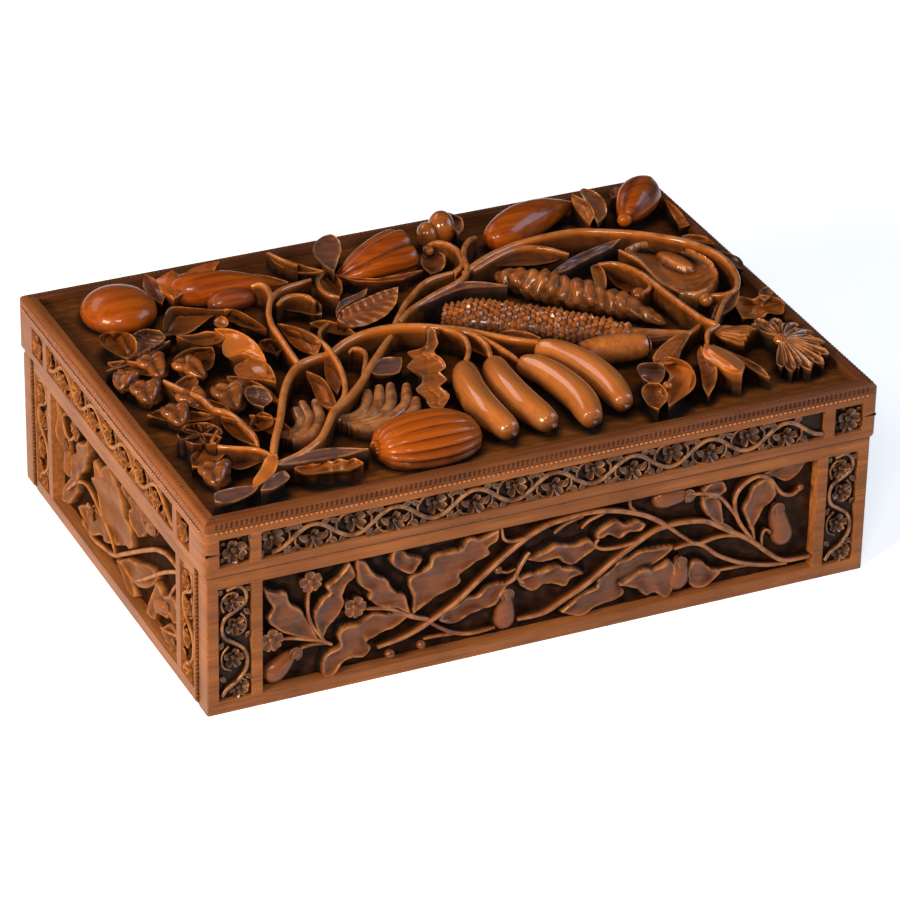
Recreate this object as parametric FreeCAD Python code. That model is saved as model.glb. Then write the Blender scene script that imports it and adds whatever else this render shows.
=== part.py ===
"""Carved hardwood keepsake box with a hinged lid, built as separate pieces.

Units are millimetres. X runs along the front, Y from front to back, Z up.
The origin is the middle of the base board's underside.
"""
import FreeCAD, Part
import math
import os

Vector = FreeCAD.Vector

os.makedirs("parts", exist_ok=True)

# Case
case_length = 300.0
case_depth = 212.0
case_height = 64.0
wall = 12.0
case_arris = 0.8
base_thickness = 5.0
base_rebate = 4.0
base_clearance = 0.1

# Layout of the wall faces
corner_strip = 5.0
rope_inset = 4.0
rope_width = 4.0
rope_fillet = 1.5
scroll_width = 14.5
stile = 4.5
bottom_rail = 5.5
top_rail = 5.5
panel_pocket = 7.0
panel_slab = 1.2
scroll_pocket = 3.5
scroll_slab = 1.0
rope_pocket = 1.6
fit_gap = 0.1

# Lid
lid_overhang = 1.5
lid_height = 22.0
lid_rail = 13.0
lid_rail_top = 5.5
lid_rounding = 2.5
top_board = 7.0
lid_plain_strip = 5.0
lid_band_height = 13.0
lid_corner_strip = 6.5
rosette_width = 13.5
border_width = 6.5
border_height = 4.0
border_ovolo = 2.4

# Hinges
hinge_length = 32.0
hinge_place = 0.56
pin_inset = 3.0
pin_radius = 1.0
pin_running_gap = 0.05
knuckle_radius = 2.2
knuckle_gap = 0.35
leaf_front_margin = 1.5
leaf_thickness = 1.2
leaf_recess = 0.1
stop_angle = 50.0
screw_radius = 0.9
screw_head_radius = 1.8
screw_length = 7.0
screw_gap = 0.05

# Carving on the lid
vine_width = 3.0
vine_height = 11.5
seat_depth = 1.0

# The carving's places are read on a field of this size, and move with the lid
layout_length = 290.0
layout_depth = 200.0
panel_layout_long = 252.0
panel_layout_short = 145.0
panel_layout_height = 53.0

# Values that follow from the ones above
half_length = case_length / 2
half_depth = case_depth / 2
lid_length = case_length + 2 * lid_overhang
lid_depth = case_depth + lid_overhang
lid_shift = -lid_overhang / 2
lid_bottom = case_height
lid_top = case_height + lid_height
ground = lid_top
pin_y = half_depth - pin_inset
pin_z = case_height
field_length = lid_length - 2 * border_width
field_depth = lid_depth - 2 * border_width
panel_bottom = bottom_rail
panel_top = case_height - top_rail
panel_height = panel_top - panel_bottom
band_bottom = lid_bottom + lid_plain_strip
big = 4 * max(case_length, case_depth, case_height)


def block(low, high):
    """Box between two corners."""
    size = [b - a for a, b in zip(low, high)]
    return Part.makeBox(size[0], size[1], size[2], Vector(*low))


def rod(radius, length, start, direction):
    """Cylinder from a start point along a direction."""
    return Part.makeCylinder(radius, length, Vector(*start), Vector(*direction))


def prism(points, low, high):
    """Upright prism over a plan outline of straight edges."""
    corners = [Vector(x, y, low) for x, y in points]
    outline = Part.makePolygon(corners + corners[:1])
    return Part.Face(outline).extrude(Vector(0, 0, high - low))


def turned(shape, quarter_turns):
    """Copy of a shape turned about Z."""
    copy = shape.copy()
    copy.rotate(Vector(0, 0, 0), Vector(0, 0, 1), 90 * quarter_turns)
    return copy


def moved(shape, x, y, z):
    """Copy of a shape shifted."""
    copy = shape.copy()
    copy.translate(Vector(x, y, z))
    return copy


def stood_up(shape):
    """Flat relief turned to face the front: its height runs towards -Y."""
    copy = shape.copy()
    copy.rotate(Vector(0, 0, 0), Vector(1, 0, 0), 90)
    return copy


def joined(shapes):
    """One shape from pieces that touch or cross."""
    if len(shapes) == 1:
        return shapes[0]
    return shapes[0].multiFuse(shapes[1:])


def real_solids(shape, least=4.0):
    """Solids of a shape, leaving out crumbs left by cutting."""
    return [solid for solid in shape.Solids if solid.Volume > least]


def store(name, pieces):
    """Write one node."""
    flat = []
    for piece in pieces:
        flat.extend(piece.Solids)
    shape = flat[0] if len(flat) == 1 else Part.makeCompound(flat)
    shape.exportStep("parts/" + name + ".step")


# Sides of the case and lid: name, quarter turns, long or short
SIDES = [("front", 0, True), ("right", 1, False), ("back", 2, True), ("left", 3, False)]


def case_side(is_long):
    """Length of a wall and its distance from the middle."""
    if is_long:
        return case_length, half_depth
    return case_depth, half_length


def lid_side(is_long):
    """Length of a lid rail and its distance from the lid's middle."""
    if is_long:
        return lid_length, lid_depth / 2
    return lid_depth, lid_length / 2


def scroll_start(is_long):
    """Distance from a corner to the upright scroll panel."""
    if is_long:
        return corner_strip
    return corner_strip + rope_inset + rope_width + rope_fillet


def main_half(is_long):
    """Half the length of the main panel's pocket."""
    length = case_side(is_long)[0]
    return length / 2 - scroll_start(is_long) - scroll_width - stile


def scroll_middle(is_long):
    """Distance of the scroll panel's middle from the wall's middle."""
    length = case_side(is_long)[0]
    return length / 2 - scroll_start(is_long) - scroll_width / 2


def rope_middle():
    """Distance of the rope strip's middle from a short wall's middle."""
    return case_depth / 2 - corner_strip - rope_inset - rope_width / 2


def case_envelope():
    """Outer form of the case with eased corners."""
    form = block((-half_length, -half_depth, 0), (half_length, half_depth, case_height))
    upright = [e for e in form.Edges if abs(e.BoundBox.ZLength - case_height) < 0.01]
    return form.makeFillet(case_arris, upright)


def lid_envelope():
    """Outer form of the lid: rounded corners and a rounded lower edge at front and sides."""
    high = lid_top + border_height
    half = lid_depth / 2
    form = block((-lid_length / 2, -half, lid_bottom), (lid_length / 2, half, high))
    edges = []
    for edge in form.Edges:
        span = edge.BoundBox
        if span.ZLength > 1:
            edges.append(edge)
        elif abs(span.ZMax - lid_bottom) < 0.01 and span.YMin < half - 0.01:
            edges.append(edge)
    return moved(form.makeFillet(lid_rounding, edges), 0, lid_shift, 0)


def pocket(middle, width, low, high, face, depth):
    """Block that cuts a pocket in a front face."""
    return block((middle - width / 2, -face - 1, low), (middle + width / 2, -face + depth, high))


def case_wall(is_long):
    """Mitred wall as a front wall, with pockets for its carved pieces."""
    length, face = case_side(is_long)
    half = length / 2
    outline = [(-half, -face), (half, -face), (half - wall, -face + wall), (-half + wall, -face + wall)]
    shape = prism(outline, 0, case_height)
    cuts = []
    cuts.append(pocket(0, 2 * main_half(is_long), panel_bottom, panel_top, face, panel_pocket))
    for sign in (-1, 1):
        middle = sign * scroll_middle(is_long)
        cuts.append(pocket(middle, scroll_width, panel_bottom, panel_top, face, scroll_pocket))
        if not is_long:
            cuts.append(pocket(sign * rope_middle(), rope_width, 0, case_height, face, rope_pocket))
    inner = -face + wall - base_rebate
    cuts.append(block((-half, inner, -1), (half, 0, base_thickness)))
    return shape.cut(cuts)


def base_board():
    """Bottom board in the walls' rebates."""
    x = half_length - wall + base_rebate - base_clearance
    y = half_depth - wall + base_rebate - base_clearance
    return block((-x, -y, 0), (x, y, base_thickness))


def strip_sides(points, width):
    """Points along both sides of a line in plan."""
    count = len(points)
    left = []
    right = []
    for i, (x, y) in enumerate(points):
        before = points[max(i - 1, 0)]
        after = points[min(i + 1, count - 1)]
        dx = after[0] - before[0]
        dy = after[1] - before[1]
        size = math.hypot(dx, dy)
        nx = -dy / size * width / 2
        ny = dx / size * width / 2
        left.append(Vector(x + nx, y + ny, 0))
        right.append(Vector(x - nx, y - ny, 0))
    return left, right


def ribbon(left, right, height):
    """Upright piece between two smooth lines in plan, standing on Z zero."""
    one = Part.BSplineCurve()
    one.interpolate(left)
    two = Part.BSplineCurve()
    two.interpolate(right)
    edges = [one.toShape(), Part.makeLine(left[-1], right[-1])]
    edges += [two.toShape(), Part.makeLine(right[0], left[0])]
    outline = Part.Wire(Part.__sortEdges__(edges))
    return Part.Face(outline).extrude(Vector(0, 0, height))


def strip(points, width, height):
    """Raised stem along a smooth line in plan, standing on Z zero."""
    left, right = strip_sides(points, width)
    return ribbon(left, right, height)


def strip_lengths(points, width, height, step=2):
    """The same stem in short lengths that meet end to end."""
    left, right = strip_sides(points, width)
    lengths = []
    for first in range(0, len(points) - 1, step):
        last = min(first + step, len(points) - 1)
        lengths.append(ribbon(left[first:last + 1], right[first:last + 1], height))
    return lengths


def lens(base, tip, width, height):
    """Leaf between two points, with arcs for its edges, standing on Z zero."""
    start = Vector(base[0], base[1], 0)
    end = Vector(tip[0], tip[1], 0)
    along = end - start
    across = Vector(-along.y, along.x, 0)
    across.normalize()
    middle = (start + end) * 0.5
    one = Part.Arc(start, middle + across * (width / 2), end).toShape()
    two = Part.Arc(end, middle - across * (width / 2), start).toShape()
    return Part.Face(Part.Wire([one, two])).extrude(Vector(0, 0, height))


def disc(centre, radius, height):
    """Round boss standing on Z zero."""
    return rod(radius, height, (centre[0], centre[1], 0), (0, 0, 1))


def flower(centre, radius, petals, height):
    """Small open flower of round petals around a boss."""
    pieces = [disc(centre, 0.45 * radius, height)]
    for i in range(petals):
        turn = 2 * math.pi * i / petals
        place = (centre[0] + 0.55 * radius * math.cos(turn), centre[1] + 0.55 * radius * math.sin(turn))
        pieces.append(disc(place, 0.42 * radius, 0.75 * height))
    return pieces


# Leaf panels: places in millimetres from the panel's middle, and from the case's underside
LONG_STEMS = [
    [(-77, 15), (-65, 15.5), (-52, 20), (-40, 27), (-25, 37), (-10, 48.5), (0, 54), (13, 56.5), (25, 56),
     (40, 52), (52, 46), (60, 38), (70, 30.5)],
    [(0, 13), (15, 20), (30, 29), (45, 37), (55, 41.5), (65, 42), (78, 38), (90, 31), (105, 19), (113, 12),
     (122, 11)],
    [(56, 26), (74, 29), (83, 30.5), (90, 29), (96, 26)],
    [(75, 28), (83, 21), (93, 15), (105, 11), (118, 10)],
    [(97, 26), (90, 40), (89.5, 47), (95, 53), (100, 55), (105, 52), (110, 46), (115, 43)],
    [(-84, 36), (-70, 32), (-56, 25)],
    [(-102.5, 52), (-102, 36), (-98, 22)],
    [(-120, 28), (-108, 25), (-95, 21.5), (-77, 15)],
]
LONG_LEAVES = [
    ((-100.5, 25), (-123, 54), 13), ((-100, 25), (-86, 56), 14), ((-60, 27), (-98, 8), 15),
    ((-58, 26), (-83, 56), 12), ((-51, 52.5), (-68, 56), 7), ((-57, 28), (-21, 56), 18),
    ((-13, 32), (-44, 22), 10), ((25, 39), (0, 39), 9), ((20, 27), (0, 32), 9), ((60, 30), (11, 11), 16),
    ((66, 24), (38, 17), 10), ((96, 13), (71, 14), 9), ((83, 38), (75, 51), 7), ((98, 32), (106, 52), 10),
    ((121, 55), (106, 56), 4), ((48, 44), (28, 45), 6), ((-46, 21), (-24, 10), 5),
]
LONG_FRUITS = [((-117, 13), 8.5), ((-15.5, 15), 5.5), ((64, 14), 5), ((111, 26), 6), ((58, 53), 4.5)]
LONG_FLOWERS = [(-102.5, 53), (-119.5, 28.5), (-84, 36)]

SHORT_STEMS = [
    [(-69, 46), (-50, 41), (-34, 31), (-18, 20), (-4, 12), (12, 9)],
    [(-69, 14), (-54, 22), (-40, 24), (-25, 28), (-6, 39), (10, 50), (22, 54)],
    [(-6, 39), (12, 34), (28, 24), (42, 14), (60, 10)],
    [(12, 34), (30, 38), (46, 47), (60, 51)],
]
SHORT_LEAVES = [
    ((-34, 31), (-14, 53), 13), ((-18, 24), (12, 27), 10), ((-50, 41), (-38, 55), 8), ((-6, 39), (-30, 50), 7),
    ((28, 24), (34, 50), 12), ((42, 14), (66, 28), 11), ((12, 10), (36, 9), 8), ((-54, 22), (-66, 33), 9),
    ((10, 46), (26, 40), 8), ((46, 47), (54, 30), 9), ((-20, 19), (-32, 8), 9),
]
SHORT_FRUITS = [((-46, 12), 6.5), ((60, 46), 5.5), ((4, 19), 5)]
SHORT_FLOWERS = [(-60, 52), (18, 17), (50, 37)]


def leaf_panel(is_long):
    """Carved leaf panel: a thin slab with the stems, leaves and fruit raised on it."""
    half = main_half(is_long)
    reach = panel_layout_long / 2 if is_long else panel_layout_short / 2
    wide = half / reach
    tall = panel_height / panel_layout_height
    relief = panel_pocket - panel_slab - 0.5

    def place(point):
        return (point[0] * wide, panel_bottom + (point[1] - 5.5) * tall)

    stems = LONG_STEMS if is_long else SHORT_STEMS
    leaves = LONG_LEAVES if is_long else SHORT_LEAVES
    fruits = LONG_FRUITS if is_long else SHORT_FRUITS
    flowers = LONG_FLOWERS if is_long else SHORT_FLOWERS
    raised = []
    for points in stems:
        raised.append(strip([place(p) for p in points], 1.9, 0.86 * relief))
    for i, (base, tip, width) in enumerate(leaves):
        raised.append(lens(place(base), place(tip), width, (0.7 + 0.02 * (i % 5)) * relief))
    for centre, radius in fruits:
        raised.append(disc(place(centre), radius, 0.95 * relief))
    for centre in flowers:
        raised.extend(flower(place(centre), 5.0, 5, 0.82 * relief))
    slab = block((-half + fit_gap, panel_bottom + fit_gap, -panel_slab), (half - fit_gap, panel_top - fit_gap, 0))
    trimmed = joined(raised).common(block((-half + fit_gap, panel_bottom + fit_gap, 0),
                                          (half - fit_gap, panel_top - fit_gap, relief)))
    whole = joined([slab] + trimmed.Solids)
    face = case_side(is_long)[1]
    return moved(stood_up(whole), 0, -face + panel_pocket - panel_slab, 0)


def wave(length, bays, swing):
    """Points of a running vine along X."""
    points = []
    steps = 4 * bays
    for i in range(steps + 1):
        x = -length / 2 + length * i / steps
        points.append((x, swing * math.sin(math.pi * i / 4)))
    return points


def scroll_relief(length, width, bays, pocket_depth):
    """Running vine with flowers on a slab, lying flat along X."""
    relief = pocket_depth - scroll_slab - 0.3
    slab = block((-length / 2, -width / 2, -scroll_slab), (length / 2, width / 2, 0))
    raised = [strip(wave(length, bays, 0.34 * width), 1.7, 0.8 * relief)]
    for i in range(bays):
        x = -length / 2 + length * (i + 0.5) / bays
        side = -1 if i % 2 == 0 else 1
        raised.append(disc((x, 0.12 * side * width), 0.19 * width, relief))
    room = block((-length / 2, -width / 2, 0), (length / 2, width / 2, relief))
    return joined([slab, joined(raised).common(room)])


def upright_scroll(is_long, sign):
    """Scroll panel beside a corner of the case."""
    face = case_side(is_long)[1]
    length = panel_height - 2 * fit_gap
    flat = scroll_relief(length, scroll_width - 2 * fit_gap, 5, scroll_pocket)
    flat.rotate(Vector(0, 0, 0), Vector(0, 0, 1), 90)
    flat = moved(flat, sign * scroll_middle(is_long), (panel_bottom + panel_top) / 2, 0)
    return moved(stood_up(flat), 0, -face + scroll_pocket - scroll_slab, 0)


def rope_strip(sign):
    """Half-round twisted strip beside a corner of a short side."""
    face = case_side(False)[1]
    x = sign * rope_middle()
    half = rope_width / 2 - fit_gap
    low = fit_gap
    high = case_height - fit_gap
    y = -face + rope_pocket
    back = block((x - half, y - 0.8 * rope_pocket, low), (x + half, y, high))
    bead = rod(half, high - low, (x, y, low), (0, 0, 1))
    front = block((x - half, -face, low), (x + half, y, high))
    return back.fuse(bead.common(front))


def lid_rail_side(is_long):
    """Mitred lid rail as a front rail, with a ledge for the top board and pockets in its face."""
    length, face = lid_side(is_long)
    half = length / 2
    outline = [(-half, -face), (half, -face), (half - lid_rail, -face + lid_rail),
               (-half + lid_rail, -face + lid_rail)]
    shape = prism(outline, lid_bottom, lid_top)
    cuts = [block((-half, -face + lid_rail_top, lid_top - top_board), (half, 0, lid_top + 1))]
    cuts.append(pocket(0, 2 * band_half(is_long), band_bottom, band_bottom + lid_band_height, face, scroll_pocket))
    for sign in (-1, 1):
        middle = sign * rosette_middle(is_long)
        cuts.append(pocket(middle, rosette_width, band_bottom, band_bottom + lid_band_height, face, scroll_pocket))
    return shape.cut(cuts)


def rosette_start(is_long):
    """Distance from a lid corner to its rosette."""
    if is_long:
        return lid_corner_strip
    return lid_corner_strip + rope_inset + rope_width + rope_fillet


def rosette_middle(is_long):
    """Distance of a rosette's middle from the rail's middle."""
    return lid_side(is_long)[0] / 2 - rosette_start(is_long) - rosette_width / 2


def band_half(is_long):
    """Half the length of the lid's scroll band."""
    return rosette_middle(is_long) - rosette_width / 2 - stile


def lid_top_board():
    """Ground board of the lid, on the rails' ledges."""
    x = lid_length / 2 - lid_rail_top - fit_gap
    y = lid_depth / 2 - lid_rail_top - fit_gap
    low = (-x, -y + lid_shift, lid_top - top_board)
    return block(low, (x, y + lid_shift, lid_top))


def scroll_band(is_long):
    """Running vine in the lid's rail."""
    face = lid_side(is_long)[1]
    bays = 14 if is_long else 8
    flat = scroll_relief(2 * band_half(is_long) - 2 * fit_gap, lid_band_height - 2 * fit_gap, bays, scroll_pocket)
    flat = moved(flat, 0, band_bottom + lid_band_height / 2, 0)
    return moved(stood_up(flat), 0, -face + scroll_pocket - scroll_slab, 0)


def rosette(is_long, sign):
    """Square block with a four-petalled flower in the lid's rail."""
    face = lid_side(is_long)[1]
    relief = scroll_pocket - scroll_slab - 0.3
    half_w = rosette_width / 2 - fit_gap
    half_h = lid_band_height / 2 - fit_gap
    slab = block((-half_w, -half_h, -scroll_slab), (half_w, half_h, 0))
    flat = joined([slab, joined(flower((0, 0), 5.2, 4, relief))])
    flat = moved(flat, sign * rosette_middle(is_long), band_bottom + lid_band_height / 2, 0)
    return moved(stood_up(flat), 0, -face + scroll_pocket - scroll_slab, 0)


def border(is_long):
    """Mitred border moulding on the lid's edge: a quarter-round rising to a flat rim."""
    length, face = lid_side(is_long)
    half = length / 2
    low = lid_top
    high = lid_top + border_height
    outer = -face
    start = Vector(-half, outer, low)
    shoulder = Vector(-half, outer + border_ovolo, high)
    bulge = Vector(-half, outer + 0.3 * border_ovolo, low + 0.72 * border_height)
    edges = [Part.Arc(start, bulge, shoulder).toShape()]
    corners = [shoulder, Vector(-half, outer + border_width, high), Vector(-half, outer + border_width, low), start]
    for a, b in zip(corners, corners[1:]):
        edges.append(Part.makeLine(a, b))
    bar = Part.Face(Part.Wire(edges)).extrude(Vector(length, 0, 0))
    outline = [(-half, -face), (half, -face), (half - border_width, -face + border_width),
               (-half + border_width, -face + border_width)]
    return bar.common(prism(outline, low - 1, high + 1))


def stop_bevel(upward):
    """Wedge cut from the back edge of the case or lid, so that they meet when the lid is open."""
    rise = pin_inset * math.tan(math.radians(stop_angle)) * (1 if upward else -1)
    extra = 2.0
    reach = 1 + extra / pin_inset
    points = [(pin_y, pin_z), (pin_y + pin_inset * reach, pin_z), (pin_y + pin_inset * reach, pin_z + rise * reach)]
    corners = [Vector(-big / 2, y, z) for y, z in points]
    face = Part.Face(Part.makePolygon(corners + corners[:1]))
    wedge = face.extrude(Vector(big, 0, 0))
    groove = rod(knuckle_gap, big, (-big / 2, pin_y, pin_z), (1, 0, 0))
    return [wedge, groove]


def hinge_middles():
    """Places of the two hinges along the back."""
    return [-hinge_place * half_length, hinge_place * half_length]


def knuckle_spans():
    """Stretches of the barrel: outer knuckles of the lower leaf, middle one of the upper leaf."""
    third = hinge_length / 3
    gap = pin_running_gap * 2
    outer = [(-hinge_length / 2, -third / 2 - gap), (third / 2 + gap, hinge_length / 2)]
    return outer, [(-third / 2, third / 2)]


def screw_places():
    """Places of a leaf's screws: along the hinge, and forward of the pin."""
    forward = pin_y - knuckle_radius - knuckle_gap - screw_head_radius - 0.6
    return [(-hinge_length / 2 + 4.5, forward), (0, forward), (hinge_length / 2 - 4.5, forward)]


def leaf_zone(upward):
    """Lowest and highest Z of a leaf's plate."""
    if upward:
        return pin_z + leaf_recess, pin_z + leaf_recess + leaf_thickness
    return pin_z - leaf_recess - leaf_thickness, pin_z - leaf_recess


def screws(middle, upward):
    """Three countersunk screws of one leaf."""
    sign = 1 if upward else -1
    outer = leaf_zone(upward)[0] if upward else leaf_zone(upward)[1]
    made = []
    for x, y in screw_places():
        top = Vector(middle + x, y, outer)
        direction = Vector(0, 0, sign)
        head = Part.makeCone(screw_head_radius, screw_radius, leaf_thickness, top, direction)
        shank = Part.makeCylinder(screw_radius, screw_length, top, direction)
        made.append(head.fuse(shank))
    return made


def screw_holes(middle, upward):
    """Room for the three screws of one leaf."""
    sign = 1 if upward else -1
    outer = leaf_zone(upward)[0] if upward else leaf_zone(upward)[1]
    made = []
    for x, y in screw_places():
        top = Vector(middle + x, y, outer)
        direction = Vector(0, 0, sign)
        head = Part.makeCone(screw_head_radius + screw_gap, screw_radius + screw_gap, leaf_thickness, top, direction)
        shank = Part.makeCylinder(screw_radius + screw_gap, screw_length + 0.2, top, direction)
        made.append(head.fuse(shank))
    return made


def hinge_leaf(middle, upward):
    """Leaf of a butt hinge: a plate with its knuckles."""
    low, high = leaf_zone(upward)
    outer, inner = knuckle_spans()
    own = inner if upward else outer
    other = outer if upward else inner
    front = half_depth - wall + leaf_front_margin
    plate = block((middle - hinge_length / 2, front, low), (middle + hinge_length / 2, pin_y, high))
    cuts = []
    clear = knuckle_radius + knuckle_gap
    for a, b in other:
        cuts.append(block((middle + a - 0.2, pin_y - clear, low - 1), (middle + b + 0.2, pin_y + clear, high + 1)))
    pieces = [plate.cut(cuts)]
    for a, b in own:
        pieces.append(rod(knuckle_radius, b - a, (middle + a, pin_y, pin_z), (1, 0, 0)))
    shape = joined(pieces)
    bore = pin_radius + (pin_running_gap if upward else 0.0)
    cuts = [rod(bore, hinge_length + 2, (middle - hinge_length / 2 - 1, pin_y, pin_z), (1, 0, 0))]
    cuts += screw_holes(middle, upward)
    return shape.cut(cuts)


def hinge_pin(middle):
    """Pin through a hinge's knuckles."""
    return rod(pin_radius, hinge_length, (middle - hinge_length / 2, pin_y, pin_z), (1, 0, 0))


def hinge_room(upward):
    """Mortises and screw holes for both hinges."""
    low, high = leaf_zone(upward)
    made = []
    for middle in hinge_middles():
        half = hinge_length / 2
        front = half_depth - wall + leaf_front_margin
        if upward:
            made.append(block((middle - half, front, pin_z - 1), (middle + half, pin_y, high)))
        else:
            made.append(block((middle - half, front, low), (middle + half, pin_y, pin_z + 1)))
        clear = knuckle_radius + knuckle_gap
        made.append(rod(clear, hinge_length + 2 * knuckle_gap, (middle - half - knuckle_gap, pin_y, pin_z), (1, 0, 0)))
        made += screw_holes(middle, upward)
    return made


def on_lid(x, y):
    """Place on the lid's ground, moving with the lid's size."""
    return (x * field_length / layout_length, y * field_depth / layout_depth + lid_shift)


def seated(shape):
    """Part of a form above the lid's ground and inside its border."""
    x = field_length / 2 - fit_gap
    y = field_depth / 2 - fit_gap
    room = block((-x, -y + lid_shift, ground), (x, y + lid_shift, ground + 60))
    return shape.common(room)


def dome(x, y, size, yaw=0.0, sunk=seat_depth):
    """Rounded fruit: half-sizes along, across and up."""
    ball = Part.makeSphere(1.0)
    matrix = FreeCAD.Matrix()
    matrix.scale(size[0], size[1], size[2])
    form = ball.transformGeometry(matrix)
    form.rotate(Vector(0, 0, 0), Vector(0, 0, 1), yaw)
    place = on_lid(x, y)
    form.translate(Vector(place[0], place[1], ground + size[2] - sunk))
    return form


def tube(points, radii, sunk=seat_depth):
    """Fruit along a line in plan, with a round section of changing size."""
    rings = []
    places = [on_lid(x, y) for x, y in points]
    for i, (x, y) in enumerate(places):
        before = places[max(i - 1, 0)]
        after = places[min(i + 1, len(places) - 1)]
        direction = Vector(after[0] - before[0], after[1] - before[1], 0)
        centre = Vector(x, y, ground + max(radii) - sunk)
        rings.append(Part.Wire(Part.makeCircle(radii[i], centre, direction)))
    return Part.makeLoft(rings, True)


def vine(points):
    """Raised vine on the lid, in short lengths."""
    lengths = strip_lengths([on_lid(x, y) for x, y in points], vine_width, vine_height)
    return [moved(length, 0, 0, ground) for length in lengths]


def lid_leaf(base, tip, width, height):
    """Raised leaf on the lid."""
    return moved(lens(on_lid(*base), on_lid(*tip), width, height), 0, 0, ground)


VINES = [
    [(-110, -84), (-107, -75), (-95, -51), (-85, -30), (-75, -15), (-65, -8.5), (-53, -5), (-43, 1), (-33, 4.5),
     (-19, 4.5), (-8, 0), (1, -4), (11, -14), (19, -24)],
    [(-112, -86), (-97, -79), (-87, -72), (-78, -61), (-71, -51), (-61, -42), (-49, -30), (-37, -18), (-26, -4)],
    [(-67, -47), (-61, -35), (-57, -23), (-54.5, -11), (-54.5, 1), (-57, 15), (-63, 23)],
    [(-70, -8), (-67.5, 9), (-67, 21), (-66, 33), (-62, 44), (-58, 51), (-56.5, 59), (-59, 63)],
    [(-59, 50), (-51, 53), (-37, 56)],
    [(-18, 5), (-11, 16), (-2, 27), (9, 35), (19, 39), (27, 41), (32, 47), (34, 57), (40, 65)],
    [(-15, 6), (-7, 15), (3, 22), (13, 27), (21, 28.5), (29, 26), (37, 21)],
    [(27, 38), (39, 46), (51, 52), (65, 56), (81, 57), (95, 55), (107, 49), (119, 39), (129, 27), (134.5, 15),
     (135.5, 3), (133, -9), (129, -18), (122, -23), (114, -24)],
    [(104, -45), (102, -27), (100, -11), (99, 5), (95, 15), (89, 21), (84, 21), (81, 12)],
    [(105, -44), (117, -35), (129, -20)],
    [(0, -5), (3, -18), (-4, -34)],
    [(4, -9), (9, -20), (8, -35)],
    [(8, -12), (14, -26), (19, -40)],
    [(-98, -80), (-86, -83), (-70, -79)],
]
LID_LEAVES = [
    ((-83, -16), (-90, 33), 15, 9), ((-97, 18), (-111, 33), 12, 7), ((-104, 0), (-97, 28), 10, 7),
    ((-54, 22), (-45, 44), 12, 9), ((-40, 8), (-6, 35), 13, 9), ((-14, -2), (-32, -66), 13, 9),
    ((-70, -47), (-97, -62), 14, 8), ((-66, -46), (-38, -60), 14, 8), ((-30, -26), (-48, -42), 9, 8),
    ((-112, -36), (-110, -70), 10, 9), ((-139, -92), (-114, -84), 9, 9), ((-97, -90), (-72, -92), 10, 8),
    ((60, 24), (98, 38), 10, 9), ((76, -2), (88, 16), 9, 8), ((-79, 40), (-103, 56), 9, 8), ((-22, 58), (-14, 88), 10, 12),
    ((-30, 82), (-38, 58), 6, 9), ((110, 56), (116, 88), 8, 12), ((100, 56), (104, 88), 7, 12), ((48, 70), (44, 90), 8, 12),
    ((137, 12), (142, 28), 6, 8), ((139, -30), (128, -20), 7, 9), ((-139, 30), (-118, 30), 10, 9), ((-128, 48), (-110, 46), 9, 8),
    ((90, -6), (97, 12), 5, 8), ((-72, 70), (-52, 60), 8, 8), ((-124, -66), (-136, -80), 8, 9),
]
BUDS = [
    (-127, 12, 5.5), (-137, -3, 6), (-113, 0, 5), (-122, -16, 5.5), (-134, -18, 5.5), (-104, -18, 6), (-131, -42, 7),
    (-122, -56, 5.5), (-99, -38, 5), (34, 74, 6.5), (26, 68, 5.5), (-138, 56, 4.5), (139, -8, 4.5), (141, -44, 4.5),
]
FINGERS = [
    [(-4, -31), (-8, -42), (-11, -56), (-11.5, -72), (-9, -87)],
    [(9, -32), (6, -42), (4.5, -56), (5.5, -72), (9, -87)],
    [(19, -37), (24, -48), (27, -62), (28, -77), (26, -91)],
    [(31, -28), (37, -38), (42, -52), (44.5, -68), (44, -84)],
]
FINGER_RADII = [3.2, 6.0, 6.5, 6.4, 2.2]


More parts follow.
